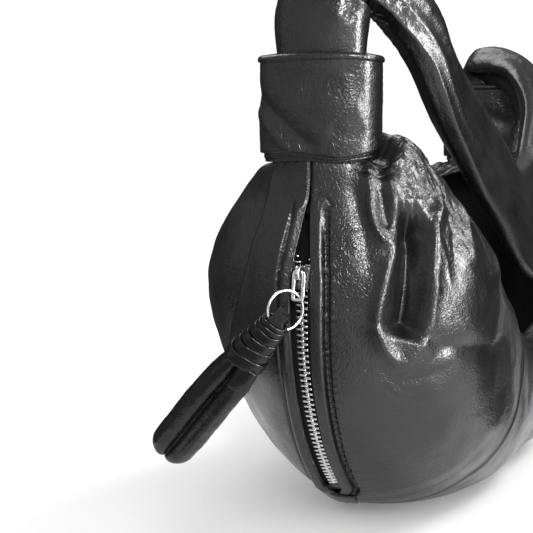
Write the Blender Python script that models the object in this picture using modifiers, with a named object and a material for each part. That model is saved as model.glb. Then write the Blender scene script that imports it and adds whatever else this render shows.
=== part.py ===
"""A slouchy crescent hobo bag in soft leather, with a zip down one end and a knotted leather puller.

Units are metres. +X runs along the bag from the zip end to the far end, -Y is the front and +Z is up.
The origin is on the bottom of the bag, under its middle.
"""

import math

import bmesh
import bpy
import numpy as np
from mathutils import Matrix, Vector

MM = 0.001

# Driving dimensions, in millimetres.
GAP = 0.5                     # clearance between neighbouring pieces of leather
LEATHER = 1.8                 # thickness of the body panels
ZIP_X, ZIP_Z = -40.0, 100.0   # centre of the arc that the zip follows down the end of the bag
ZIP_R = 110.0                 # radius of that arc, at the middle of the teeth
SKIN_RISE = 3.5               # how far the leather stands out beyond the teeth
SLOT_HALF = 5.2               # half the width of the slot between the two leather lips
ZIP_TOP, ZIP_BOTTOM = 22.0, -50.0     # ends of the zip, in degrees above the middle of its arc
SLIDER_ANGLE = 7.3            # where the slider stands
TOOTH_PITCH = 2.54            # a number 5 metal zip
CUFF_X = -131.0               # middle of the cuff that gathers the horn into the strap
CUFF_LOW, CUFF_HIGH = 166.0, 207.0
CUFF_HALF_Y, CUFF_HALF_X = 26.2, 14.6
FAR_DROP = 17.0               # how much lower the far horn slouches
STRAP_BEND_Z = 230.0          # height of the bend where the strap folds over, near end
SEAM_STATION = 7.0            # station of the seam between the end panels and the middle panels
LAST_STATION = 9.0            # the middle of the bag

# Stations from the near horn to the middle: outer edge, inner edge (x, z), half-width, rim share of the half-width.
ARC_STATIONS = (24.0, 6.0, -13.0, -32.0, -50.0)
OUTER = [(-142.2, 178.0), (-142.2, 161.5)]
OUTER += [
    (
        ZIP_X - (ZIP_R + SKIN_RISE) * math.cos(math.radians(a)),
        ZIP_Z + (ZIP_R + SKIN_RISE) * math.sin(math.radians(a)),
    )
    for a in ARC_STATIONS
]
OUTER += [(-92.0, 2.0), (-50.0, -8.0), (0.0, -9.0)]
INNER = [(-119.8, 178), (-119.8, 161.5), (-102, 160), (-95, 143), (-84, 124)]
INNER += [(-66, 106), (-45, 90), (-28, 80), (-12, 74), (0, 72)]
# Side -1 is the front, which slumps full and round; side 1 is the back, drawn in above and below.
HALF_WIDTH = {
    -1: [21.5, 22.0, 44.0, 58.0, 64.6, 67.5, 68.5, 68.0, 66.5, 65.5],
    1: [21.5, 22.0, 35.5, 51.5, 61.5, 67.0, 69.0, 69.0, 67.0, 66.0],
}
LOWER_ROUND = {-1: 2.3, 1: 1.3}       # how round the section is below its widest place
RIM_SHARE = [0.0, 0.0, 0.0, 0.70, 0.80, 0.84, 0.86, 0.86, 0.86, 0.86]
SEAM_EASE = {-1: 0.0, 1: 0.8}         # the back leather slopes away from the seam, so it starts further off
WIDEST = 0.62                         # share of the section's height where it is widest

LEATHER_BLACK = (0.012, 0.012, 0.013)
MATERIALS = {
    "leather": (LEATHER_BLACK, 0.32, 0.0),
    "leather_puller": ((0.016, 0.016, 0.017), 0.38, 0.0),
    "lining": ((0.03, 0.03, 0.032), 0.9, 0.0),
    "zip_tape": ((0.01, 0.01, 0.01), 0.85, 0.0),
    "zip_metal": ((0.82, 0.82, 0.84), 0.18, 1.0),
    "snap_metal": ((0.6, 0.6, 0.62), 0.25, 1.0),
}


def clear_scene():
    for ob in list(bpy.data.objects):
        bpy.data.objects.remove(ob)


def material(name):
    found = bpy.data.materials.get(name)
    if found:
        return found
    colour, roughness, metallic = MATERIALS[name]
    made = bpy.data.materials.new(name)
    made.use_nodes = True
    shader = made.node_tree.nodes["Principled BSDF"]
    shader.inputs["Base Color"].default_value = (*colour, 1.0)
    shader.inputs["Roughness"].default_value = roughness
    shader.inputs["Metallic"].default_value = metallic
    return made


def new_object(name, mesh, mat, collection, origin=None):
    """Links a mesh as a node. With an origin, the object sits there and its mesh is moved back by as much."""
    ob = bpy.data.objects.new(name, mesh)
    collection.objects.link(ob)
    node_material = material(mat).copy()
    node_material.name = f"{name}_{mat}"
    mesh.materials.clear()
    mesh.materials.append(node_material)
    if origin is not None:
        mesh.transform(Matrix.Translation(-Vector(origin)))
        ob.location = origin
    return ob


def smooth(mesh, angle=40.0):
    mesh.shade_smooth()
    mesh.set_sharp_from_angle(angle=math.radians(angle))


def smoothstep(x):
    x = min(1.0, max(0.0, x))
    return x * x * (3 - 2 * x)


def curve_through(points, t):
    """Point at parameter t on the smooth (Catmull-Rom) curve through the points, one per whole number."""
    points = [np.array(p, float) for p in points]
    i = min(int(t), len(points) - 2)
    f = t - i
    p1, p2 = points[i], points[i + 1]
    p0 = points[i - 1] if i > 0 else 2 * p1 - p2
    p3 = points[i + 2] if i + 2 < len(points) else 2 * p2 - p1
    return 0.5 * (
        2 * p1
        + (p2 - p0) * f
        + (2 * p0 - 5 * p1 + 4 * p2 - p3) * f**2
        + (3 * p1 - 3 * p2 + p3 - p0) * f**3
    )


def station(u, side=-1):
    """Outer point, inner point, half-width and rim share at a station of the near half."""
    values = [
        (o[0], o[1], i[0], i[1], w, r)
        for o, i, w, r in zip(OUTER, INNER, HALF_WIDTH[side], RIM_SHARE)
    ]
    mirrored = values + [(-a, b, -c, d, w, r) for a, b, c, d, w, r in values[-2::-1]]
    v = curve_through(mirrored, u)
    return v[0:2], v[2:4], v[4], min(0.95, max(0.0, v[5]))


def slouch(x, z):
    """Height after the far end has slouched: the base stays flat, the far horn drops."""
    share = smoothstep((x + 120.0) / 240.0)
    return z * (1.0 - share * FAR_DROP / CUFF_LOW)


def slot_half(u):
    """Half the gap between the front and back panels along the outer edge."""
    opening = smoothstep((u - 2.0) / 0.35) * smoothstep((6.24 - u) / 0.45)
    return GAP / 2 + (SLOT_HALF - GAP / 2) * opening


def seam_shift(u):
    """The bottom seam wanders a few millimetres to the back of the middle line, under the base."""
    inside = min(u, 2 * LAST_STATION - u)
    return 5.0 * smoothstep((inside - 6.3) / 0.9)


def section_width(h, rim, power):
    if h < WIDEST:
        return (1 - (1 - h / WIDEST) ** power) ** (1 / power)
    return rim + (1 - rim) * math.sqrt(max(0.0, 1 - ((h - WIDEST) / (1 - WIDEST)) ** 2))


def skin(u, side, s):
    """Point of the leather's outer face: u from horn to horn, s from the outer seam (0) to the rim (1)."""
    outer, inner, half, rim = station(u, side)
    h = (1 - math.cos(math.pi * s)) / 2
    start = slot_half(u) + side * seam_shift(u) + SEAM_EASE[side]
    end = rim * half if rim > 0.01 else GAP / 2
    width = section_width(h, rim, LOWER_ROUND[side])
    y = start + (half - start) * width
    if h >= WIDEST:
        y = max(y, min(end, half))
        y = max(y, GAP / 2)
    xz = outer + (inner - outer) * h
    z = max(0.0, slouch(xz[0], xz[1]))
    return np.array([xz[0], side * y, z])


def skin_normal(u, side, s):
    eps = 0.02
    s0, s1 = max(0.0, s - eps), min(1.0, s + eps)
    u0, u1 = max(0.0, u - eps), min(2 * LAST_STATION, u + eps)
    across = skin(u, side, s1) - skin(u, side, s0)
    along = skin(u1, side, s) - skin(u0, side, s)
    n = np.cross(across, along) * side
    length = np.linalg.norm(n)
    if length < 1e-9:
        return np.array([0.0, 0.0, -1.0])
    n = n / length
    outer, inner, _, _ = station(u)
    middle = (outer + inner) / 2
    outward = skin(u, side, s) - np.array([middle[0], 0.0, middle[1]])
    return n if n @ outward > 0 else -n


def under(u, side, s, depth):
    """Point at a depth below the leather's outer face."""
    return skin(u, side, s) - skin_normal(u, side, s) * depth


def grid_mesh(name, rows, closed_rows=False):
    """Open quad surface through a grid of points in millimetres."""
    bm = bmesh.new()
    verts = [[bm.verts.new([c * MM for c in p]) for p in row] for row in rows]
    for a, b in zip(verts, verts[1:]):
        count = len(a)
        for j in range(count if closed_rows else count - 1):
            bm.faces.new((a[j], a[(j + 1) % count], b[(j + 1) % count], b[j]))
    mesh = bpy.data.meshes.new(name)
    bm.to_mesh(mesh)
    bm.free()
    return mesh


def shell(name, rows, thickness, mat, collection, closed_rows=False, flip=False):
    """A sheet of the given thickness, grown to the inner side of its grid by Solidify."""
    mesh = grid_mesh(name, rows, closed_rows)
    if flip:
        mesh.flip_normals()
    ob = new_object(name, mesh, mat, collection)
    solid = ob.modifiers.new("thickness", "SOLIDIFY")
    solid.thickness = thickness * MM
    solid.offset = -1.0
    smooth(mesh)
    return ob


def loft(name, rings, mat, collection, origin=None):
    """A closed solid through rings of points, capped flat at both ends."""
    mesh = grid_mesh(name, rings, closed_rows=True)
    bm = bmesh.new()
    bm.from_mesh(mesh)
    edges = [e for e in bm.edges if e.is_boundary]
    bmesh.ops.holes_fill(bm, edges=edges, sides=0)
    bmesh.ops.recalc_face_normals(bm, faces=bm.faces)
    bm.to_mesh(mesh)
    bm.free()
    smooth(mesh)
    return new_object(name, mesh, mat, collection, origin)


def spread(first, last, count):
    return [first + (last - first) * i / (count - 1) for i in range(count)]


def superellipse(half_a, half_b, count, power=2.6):
    """Points (a, b) round a rounded rectangle."""
    points = []
    for i in range(count):
        angle = 2 * math.pi * i / count
        c, s = math.cos(angle), math.sin(angle)
        a = half_a * math.copysign(abs(c) ** (2 / power), c)
        b = half_b * math.copysign(abs(s) ** (2 / power), s)
        points.append((a, b))
    return points


def body_panels(collection):
    """Six panels of leather: near, centre and far, front and back, with a seam gap between them."""
    seam_gap = 0.02
    spans = {
        "near": spread(0.0, SEAM_STATION - seam_gap, 20),
        "centre": spread(SEAM_STATION + seam_gap, 2 * LAST_STATION - SEAM_STATION - seam_gap, 9),
        "far": spread(2 * LAST_STATION - SEAM_STATION + seam_gap, 2 * LAST_STATION, 15),
    }
    for side, word in ((-1, "front"), (1, "back")):
        for place, us in spans.items():
            rows = [[skin(u, side, s) for s in spread(0.0, 1.0, 12)] for u in us]
            shell(f"{word}_{place}_panel", rows, LEATHER, "leather", collection, flip=side < 0)


def lining_depth(s):
    return 8.5 + (5.0 - 8.5) * smoothstep(s / 0.6)


def lining(collection):
    """One loose inner bag, from the front facing round under the base to the back facing."""
    us = spread(2.35, 2 * LAST_STATION - 2.35, 23)
    ss = spread(0.06, 0.62, 6)
    rows = []
    for u in us:
        front = [under(u, -1, s, lining_depth(s)) for s in reversed(ss)]
        back = [under(u, 1, s, lining_depth(s)) for s in ss]
        rows.append(front + back)
    shell("lining", rows, 0.8, "lining", collection, flip=True)


def facings(collection):
    """A band of leather sewn round the inside of the mouth, one each side."""
    us = spread(3.0, 2 * LAST_STATION - 3.0, 23)
    ss = spread(0.66, 0.995, 4)
    for side, word in ((-1, "front"), (1, "back")):
        rows = [[under(u, side, s, 4.4) for s in ss] for u in us]
        shell(f"{word}_facing", rows, 1.2, "leather", collection, flip=side < 0)


def frame_from(direction, across):
    """Matrix whose Z is direction and whose X is as near as can be to across."""
    z = Vector(direction).normalized()
    y = z.cross(Vector(across)).normalized()
    x = y.cross(z)
    return Matrix((x, y, z)).transposed()


def disc(name, centre, normal, radius, height, mat, collection, sides=24):
    """A round plate centred on a point, in millimetres."""
    bm = bmesh.new()
    r = radius * MM
    bmesh.ops.create_cone(bm, cap_ends=True, segments=sides, radius1=r, radius2=r, depth=height * MM)
    mesh = bpy.data.meshes.new(name)
    bm.to_mesh(mesh)
    bm.free()
    turn = frame_from(normal, (1, 0, 0)).to_4x4()
    place = Matrix.Translation(Vector([c * MM for c in centre]))
    mesh.transform(place @ turn)
    smooth(mesh)
    return new_object(name, mesh, mat, collection)


def magnetic_snap(collection):
    """The two halves of the magnetic snap inside the mouth, each with its backing washer."""
    for side, word in ((-1, "socket"), (1, "stud")):
        s = 0.80
        normal = skin_normal(LAST_STATION, side, s)
        base = skin(LAST_STATION, side, s)
        disc(f"snap_{word}", base - normal * 8.4, normal, 7.5, 2.4, "snap_metal", collection)
        disc(f"snap_{word}_washer", base - normal * 3.3, normal, 4.5, 0.5, "snap_metal", collection, 16)


def tube_band(name, centre_x, low, high, half_y, half_x, thickness, mat, collection):
    """A flattened sleeve standing upright round a horn."""
    heights = spread(low, high, 5)
    ring = superellipse(half_x, half_y, 36)
    rows = [[(centre_x + a, b, z) for a, b in ring] for z in heights]
    return shell(name, rows, thickness, mat, collection, closed_rows=True)


def cuffs(collection):
    """At each horn, an outer cuff over a slightly longer under-band."""
    for word, sign, drop in (("near", 1, 0.0), ("far", -1, FAR_DROP)):
        x = sign * CUFF_X
        tube_band(
            f"{word}_cuff", x, CUFF_LOW - drop, CUFF_HIGH - drop,
            CUFF_HALF_Y, CUFF_HALF_X, 1.5, "leather", collection,
        )
        tube_band(
            f"{word}_cuff_band", x, CUFF_LOW - 3.0 - drop, CUFF_HIGH - 6.0 - drop,
            CUFF_HALF_Y - 2.0, CUFF_HALF_X - 2.0, 1.0, "leather", collection,
        )


def strap_bends():
    """The two points where the strap folds over above its cuffs."""
    near = np.array([CUFF_X + 4.0, 0.0, STRAP_BEND_Z])
    far = np.array([-CUFF_X, 0.0, CUFF_HIGH - FAR_DROP + 13.0])
    return near, far


def strap_ends(collection):
    """The ends of the strap, gathered inside the cuffs and held there."""
    near, far = strap_bends()
    for word, sign, bend, drop in (("near", 1, near, 0.0), ("far", -1, far, FAR_DROP)):
        x = sign * CUFF_X
        low = 181.0 - drop
        high = bend[2] - 13.5
        rings = []
        for z in spread(low, high, 5):
            share = (z - low) / (high - low)
            shift = (bend[0] - x) * smoothstep(share)
            wide = 20.5 - 3.0 * smoothstep(share)
            thick = 9.0 + 0.5 * share
            rings.append([(x + shift + a, b, z) for a, b in superellipse(thick, wide, 24, 2.3)])
        loft(f"strap_{word}_end", rings, "leather", collection)


def strap_route():
    """Centre line of the free part of the strap, from bend to bend, slumped forward over the mouth."""
    near, far = strap_bends()
    return [
        near,
        near + (9.0, -13.0, 5.0),
        near + (24.0, -31.0, -9.0),
        (-82.0, -41.0, 186.0),
        (-42.0, -50.0, 152.0),
        (0.0, -54.0, 124.0),
        (40.0, -52.0, 132.0),
        (78.0, -44.0, 160.0),
        far + (-29.0, -30.0, -8.0),
        far + (-10.0, -12.0, 4.0),
        far,
    ]


STRAP_HALF_WIDE = [10, 12, 14, 18, 24, 27, 25, 20, 14, 12, 10]
STRAP_HALF_THICK = [10, 11, 11, 9, 7.5, 7.0, 7.5, 8.5, 10.5, 11, 10]


def strap_span(collection):
    """The free span of the strap: round at its two bends, a wide soft band between them."""
    route = strap_route()
    near, _ = strap_bends()
    rings = []
    steps = 31
    last = len(route) - 1
    for i in range(steps):
        t = last * i / (steps - 1)
        centre = curve_through(route, t)
        ahead = curve_through(route, min(last, t + 0.05)) - curve_through(route, max(0, t - 0.05))
        ahead = ahead / np.linalg.norm(ahead)
        across = np.array([0.0, 0.28, 1.0])
        across = across - ahead * (across @ ahead)
        across = across / np.linalg.norm(across)
        through = np.cross(ahead, across)
        wide = curve_through([(w,) for w in STRAP_HALF_WIDE], t)[0]
        thick = curve_through([(w,) for w in STRAP_HALF_THICK], t)[0]
        from_end = min(t, last - t)
        round_off = math.sqrt(max(0.0, 1 - (1 - min(1.0, from_end / 0.5)) ** 2)) * 0.75 + 0.25
        ring = superellipse(wide * round_off, thick * round_off, 16, 2.3)
        rings.append([centre + across * a + through * b for a, b in ring])
    loft("strap_span", rings, "leather", collection, origin=[c * MM for c in near])


def on_arc(angle, y=0.0, rise=0.0):
    """Point on the zip's arc, at an angle in degrees, a distance across and a rise above the teeth."""
    a = math.radians(angle)
    r = ZIP_R + rise
    return np.array([ZIP_X - r * math.cos(a), y, ZIP_Z + r * math.sin(a)])


def bent_bar(name, angles, low_y, high_y, low_rise, high_rise, mat, collection, drop=0.0):
    """A bar of rectangular section bent along the zip's arc. Its outer edge can drop towards the inside."""
    rings = []
    for a in angles:
        corners = (
            (low_y, low_rise), (high_y, low_rise - drop), (high_y, high_rise - drop), (low_y, high_rise),
        )
        rings.append([on_arc(a, y, rise) for y, rise in corners])
    return loft(name, rings, mat, collection)


def zip_tapes(collection):
    """Woven tape each side of the teeth, held behind the leather."""
    angles = spread(ZIP_TOP + 1.0, ZIP_BOTTOM - 2.0, 28)
    for side, word, drop in ((-1, "front", 0.0), (1, "back", 3.0)):
        bent_bar(
            f"zip_tape_{word}", angles,
            side * 3.5, side * 11.6, -0.65, 0.05, "zip_tape", collection, drop,
        )


def zip_teeth(collection):
    """Each row of teeth, with the thick bead of the tape that they are clamped on."""
    step = math.degrees(TOOTH_PITCH / ZIP_R)
    top = ZIP_TOP - 1.0
    count = int((top - (ZIP_BOTTOM + 1.0)) / step)
    for side, word in ((-1, "front"), (1, "back")):
        shift = step / 2 if side > 0 else 0.0
        rings = []
        for i in range(count):
            start = top - shift - i * step
            for part, tip in ((0.0, 0.8), (0.5, 0.8), (0.52, 1.9), (0.98, 1.9)):
                a = start - part * step
                corners = ((tip, -1.1), (3.1, -1.1), (3.1, 1.1), (tip, 1.1))
                rings.append([on_arc(a, side * y, rise) for y, rise in corners])
        loft(f"zip_teeth_{word}", rings, "zip_metal", collection)


def zip_stops(collection):
    """The end stops: a staple across both rows at the bottom, one small stop on each row at the top."""
    bottom = spread(ZIP_BOTTOM + 0.1, ZIP_BOTTOM - 1.6, 3)
    bent_bar("zip_bottom_stop", bottom, -3.1, 3.1, -1.3, 1.3, "zip_metal", collection)
    top = spread(ZIP_TOP + 1.0, ZIP_TOP - 0.6, 3)
    for side, word in ((-1, "front"), (1, "back")):
        bent_bar(
            f"zip_top_stop_{word}", top, side * 0.8, side * 3.0, -1.0, 1.0, "zip_metal", collection,
        )


def slider_frame():
    """Place of the slider, its outward normal and its upward direction along the zip."""
    a = math.radians(SLIDER_ANGLE)
    normal = np.array([-math.cos(a), 0.0, math.sin(a)])
    up = np.array([math.sin(a), 0.0, math.cos(a)])
    return on_arc(SLIDER_ANGLE), normal, up


def slider_point(along, y, out):
    """Point given along the zip, across it and outward, from the middle of the slider."""
    centre, normal, up = slider_frame()
    return centre + up * along + normal * out + np.array([0.0, y, 0.0])


def joined(name, meshes):
    """One closed solid from overlapping closed meshes, by exact Boolean union."""
    base = bpy.data.objects.new(name, meshes[0])
    bpy.context.scene.collection.objects.link(base)
    others = []
    for extra in meshes[1:]:
        tool = bpy.data.objects.new(name + "_tool", extra)
        bpy.context.scene.collection.objects.link(tool)
        union = base.modifiers.new("union", "BOOLEAN")
        union.operation = "UNION"
        union.solver = "EXACT"
        union.object = tool
        others.append(tool)
    bpy.context.view_layer.update()
    evaluated = base.evaluated_get(bpy.context.evaluated_depsgraph_get())
    mesh = bpy.data.meshes.new_from_object(evaluated)
    for ob in [base, *others]:
        bpy.data.objects.remove(ob)
    return mesh


def block(corners_low, corners_high):
    """A box in slider coordinates (along, y, out) as a closed mesh."""
    bm = bmesh.new()
    bmesh.ops.create_cube(bm, size=1.0)
    low, high = np.array(corners_low, float), np.array(corners_high, float)
    for v in bm.verts:
        local = (low + high) / 2 + np.array(v.co) * (high - low)
        v.co = Vector(slider_point(*local) * MM)
    bmesh.ops.recalc_face_normals(bm, faces=bm.faces)
    mesh = bpy.data.meshes.new("block")
    bm.to_mesh(mesh)
    bm.free()
    return mesh


def slider_plate(low_out, high_out):
    """One wing-shaped plate of the slider: broad at its upper end, narrower at the lower."""
    outline = ((5.2, 2.6), (4.2, 4.2), (0.5, 4.3), (-4.2, 3.4), (-5.2, 2.6))
    points = [(a, y) for a, y in outline] + [(a, -y) for a, y in reversed(outline)]
    rings = [[slider_point(a, y, out) for a, y in points] for out in (low_out, high_out)]
    mesh = grid_mesh("plate", rings, closed_rows=True)
    bm = bmesh.new()
    bm.from_mesh(mesh)
    bmesh.ops.holes_fill(bm, edges=[e for e in bm.edges if e.is_boundary], sides=0)
    bmesh.ops.recalc_face_normals(bm, faces=bm.faces)
    bm.to_mesh(mesh)
    bm.free()
    return mesh


def slider_body(collection):
    """Two plates joined by a neck that runs in the gap between the rows of teeth."""
    neck = block((1.6, -0.5, -2.4), (4.6, 0.5, 2.4))
    mesh = joined("slider_body", [slider_plate(1.75, 3.1), slider_plate(-3.1, -1.75), neck])
    origin = Vector((ZIP_X * MM, 0.0, ZIP_Z * MM))
    new_object("slider_body", mesh, "zip_metal", collection, origin)


def wire(name, points, radius, mat, collection, origin=None, cyclic=False, sides=2):
    """A round wire through the points, in millimetres, as a closed mesh."""
    data = bpy.data.curves.new(name, "CURVE")
    data.dimensions = "3D"
    data.bevel_depth = radius * MM
    data.bevel_resolution = sides
    data.use_fill_caps = True
    data.resolution_u = 1
    spline = data.splines.new("POLY")
    spline.points.add(len(points) - 1)
    for target, p in zip(spline.points, points):
        target.co = (*[c * MM for c in p], 1.0)
    spline.use_cyclic_u = cyclic
    ob = bpy.data.objects.new(name, data)
    bpy.context.scene.collection.objects.link(ob)
    bpy.context.view_layer.update()
    mesh = bpy.data.meshes.new_from_object(ob.evaluated_get(bpy.context.evaluated_depsgraph_get()))
    bpy.data.objects.remove(ob)
    bm = bmesh.new()
    bm.from_mesh(mesh)
    bmesh.ops.remove_doubles(bm, verts=bm.verts, dist=1e-6)
    bmesh.ops.recalc_face_normals(bm, faces=bm.faces)
    bm.to_mesh(mesh)
    bm.free()
    smooth(mesh, 50)
    return new_object(name, mesh, mat, collection, origin)


TAB_PIVOT = (2.2, 0.0, 5.1)        # along, y, out: the bar of the pull tab inside the bridge


def slider_bridge(collection):
    """The little arch on the slider that the pull tab hangs from."""
    route = [(4.7, 3.9), (4.9, 5.3), (4.0, 6.7), (2.2, 7.2), (0.2, 6.7), (-0.7, 5.3), (-0.5, 3.9)]
    points = [slider_point(a, 0.0, out) for a, out in route]
    origin = Vector((ZIP_X * MM, 0.0, ZIP_Z * MM))
    wire("slider_bridge", points, 0.7, "zip_metal", collection, origin)


def pull_tab(collection):
    """A flat metal loop: a round bar in the bridge, two side rails and a lower bar for the ring."""
    along, _, out = TAB_PIVOT
    rail = 2.3
    low = along - 11.5
    corners = [(along, -rail), (low, -rail), (low, rail), (along, rail)]
    points = []
    for (a0, y0), (a1, y1) in zip(corners, corners[1:] + corners[:1]):
        for f in (0.12, 0.5, 0.88):
            points.append(slider_point(a0 + (a1 - a0) * f, y0 + (y1 - y0) * f, out))
    origin = [c * MM for c in slider_point(*TAB_PIVOT)]
    wire("pull_tab", points, 0.75, "zip_metal", collection, origin, cyclic=True)


RING_R = 8.2                       # middle of the ring's wire
RING_WIRE = 0.6
RING_ALONG = np.array([-0.78, 0.626, 0.0])    # level direction in the plane of the ring
RING_UP = np.array([0.0, 0.0, 1.0])


def ring_centre():
    """The ring hangs through the loop of the pull tab, 45 degrees round from its top."""
    crossing = slider_point(TAB_PIVOT[0] - 9.4, 0.0, TAB_PIVOT[2])
    return crossing + RING_R * math.sqrt(0.5) * (RING_ALONG - RING_UP)


def ring_point(angle, radius=RING_R):
    """Point of the ring; angle 0 is level and outward, 90 degrees is up."""
    a = math.radians(angle)
    return ring_centre() + radius * (math.cos(a) * RING_ALONG + math.sin(a) * RING_UP)


def pull_ring(collection):
    """The round wire ring that joins the leather puller to the pull tab."""
    points = [ring_point(360.0 * i / 36) for i in range(36)]
    origin = [c * MM for c in ring_centre()]
    wire("pull_ring", points, RING_WIRE, "zip_metal", collection, origin, cyclic=True)


PULLER_TIP = np.array([-142.0, 71.0, 27.5])
PULLER_FACE = np.array([-0.905, -0.403, 0.139])    # the way its flat side looks


def puller_axes():
    """Start of the puller on the ring, its direction, its width direction and its thickness direction."""
    start = ring_point(-45.0)
    along = PULLER_TIP - start
    along = along / np.linalg.norm(along)
    across = np.cross(along, PULLER_FACE)
    across = across / np.linalg.norm(across)
    return start, along, across, np.cross(across, along)


def puller_point(distance, a, b):
    start, along, across, through = puller_axes()
    return start + along * distance + across * a + through * b


def puller_ring_section(distance, half_wide, half_thick, power=2.4, count=14):
    return [puller_point(distance, a, b) for a, b in superellipse(half_wide, half_thick, count, power)]


def puller_loop(collection):
    """The strip of leather folded into a two-tube tassel; its core runs under the lace up to the ring."""
    stations = [
        (3.2, 3.2, 1.6), (8.0, 3.6, 2.2), (16.0, 4.6, 3.2), (24.0, 5.6, 3.8), (31.0, 6.4, 4.2),
        (35.0, 9.0, 5.0), (42.0, 10.2, 5.2), (55.0, 10.4, 5.4), (70.0, 10.2, 5.2),
        (84.0, 9.6, 4.8), (90.0, 7.8, 4.0), (93.5, 4.4, 2.4),
    ]
    rings = [puller_ring_section(*values) for values in stations]
    origin = [c * MM for c in ring_centre()]
    loft("puller_loop", rings, "leather_puller", collection, origin)


def puller_hitch(collection):
    """The raw end of the strip, folded round the wire of the ring. Its two flat ends stand off the core."""
    rings = []
    for i in range(15):
        angle = math.radians(-100.0 + 200.0 * i / 14)
        inner, outer = 2.1, 3.3
        ring = []
        for r, a in ((inner, -2.6), (inner, 2.6), (outer, 2.6), (outer, -2.6)):
            distance = -r * math.cos(angle)
            ring.append(puller_point(distance, a, r * math.sin(angle)))
        rings.append(ring)
    origin = [c * MM for c in ring_centre()]
    loft("puller_hitch", rings, "leather_puller", collection, origin)


def puller_wrap(collection):
    """The lace wound round the core: a ribbed sleeve that widens towards the tassel."""
    turns, first, last = 6, 5.0, 31.5
    turn = (last - first) / turns
    outside = []
    for i in range(turns):
        for f, bulge in ((0.06, 0.0), (0.3, 0.7), (0.7, 0.7), (0.94, 0.0)):
            d = first + (i + f) * turn
            share = (d - first) / (last - first)
            outside.append((d, 5.0 + 3.4 * share + bulge, 3.6 + 2.4 * share + bulge))
    inside = [(31.0, 7.0, 4.8), (22.0, 6.0, 4.3), (14.0, 5.0, 3.7), (6.0, 4.0, 2.7)]
    rings = [puller_ring_section(*values) for values in outside + inside]
    mesh = grid_mesh("puller_wrap", rings + rings[:1], closed_rows=True)
    bm = bmesh.new()
    bm.from_mesh(mesh)
    bmesh.ops.remove_doubles(bm, verts=bm.verts, dist=1e-7)
    bmesh.ops.recalc_face_normals(bm, faces=bm.faces)
    bm.to_mesh(mesh)
    bm.free()
    smooth(mesh)
    origin = [c * MM for c in ring_centre()]
    new_object("puller_wrap", mesh, "leather_puller", collection, origin)


def puller_lace_end(collection):
    """The last tail of the lace, lying slantwise across the front of the tassel."""
    rings = []
    for i in range(7):
        f = i / 6
        distance = 36.0 + 5.0 * f
        a = 8.5 - 17.0 * f
        rise = 6.1 - 0.9 * abs(2 * f - 1) ** 2
        ring = []
        for d, b in ((-2.0, 0.0), (2.0, 0.0), (2.0, 1.2), (-2.0, 1.2)):
            ring.append(puller_point(distance + d, a, rise + b))
        rings.append(ring)
    origin = [c * MM for c in ring_centre()]
    loft("puller_lace_end", rings, "leather_puller", collection, origin)


def seam_tab(collection):
    """The small tab of leather that finishes the bottom of the zip slot."""
    rows = []
    for u in spread(6.24, 6.48, 4):
        front = [under(u, -1, s, -1.5) for s in (0.02, 0.01)]
        back = [under(u, 1, s, -1.5) for s in (0.0, 0.01, 0.02)]
        rows.append(front + back)
    shell("seam_tab", rows, 1.1, "leather", collection, flip=True)


def main():
    clear_scene()
    collection = bpy.data.collections.new("hobo_bag")
    bpy.context.scene.collection.children.link(collection)
    body_panels(collection)
    lining(collection)
    facings(collection)
    magnetic_snap(collection)
    cuffs(collection)
    strap_ends(collection)
    strap_span(collection)
    zip_tapes(collection)
    zip_teeth(collection)
    zip_stops(collection)
    seam_tab(collection)
    slider_body(collection)
    slider_bridge(collection)
    pull_tab(collection)
    pull_ring(collection)
    puller_loop(collection)
    puller_hitch(collection)
    puller_wrap(collection)
    puller_lace_end(collection)


main()
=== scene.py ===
"""Looks of the hobo bag: creased glossy leather, metal zip, knotted puller and a slumped soft strap."""

import math

import bmesh
import bpy
import numpy as np
from mathutils import Matrix, Vector, noise


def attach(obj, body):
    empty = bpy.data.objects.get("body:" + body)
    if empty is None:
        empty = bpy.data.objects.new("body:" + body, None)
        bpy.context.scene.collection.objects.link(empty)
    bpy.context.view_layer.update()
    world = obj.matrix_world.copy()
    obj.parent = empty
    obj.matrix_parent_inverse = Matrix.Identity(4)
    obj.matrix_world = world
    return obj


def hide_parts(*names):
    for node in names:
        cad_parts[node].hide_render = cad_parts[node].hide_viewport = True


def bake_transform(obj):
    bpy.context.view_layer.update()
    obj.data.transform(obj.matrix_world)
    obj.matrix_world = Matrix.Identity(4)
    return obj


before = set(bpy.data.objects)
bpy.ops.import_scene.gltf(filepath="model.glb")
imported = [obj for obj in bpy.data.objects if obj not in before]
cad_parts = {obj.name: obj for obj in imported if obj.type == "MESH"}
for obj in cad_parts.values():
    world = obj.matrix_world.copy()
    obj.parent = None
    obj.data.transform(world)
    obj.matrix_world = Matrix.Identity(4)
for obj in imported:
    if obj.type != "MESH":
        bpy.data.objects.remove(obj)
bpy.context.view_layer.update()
MM = 0.001

# Thickness of the sheets of cloth and leather, in millimetres.
LINING_SHEET, FACING_SHEET, TAPE_SHEET, TAB_SHEET = 0.7, 1.0, 0.5, 1.4

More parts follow.
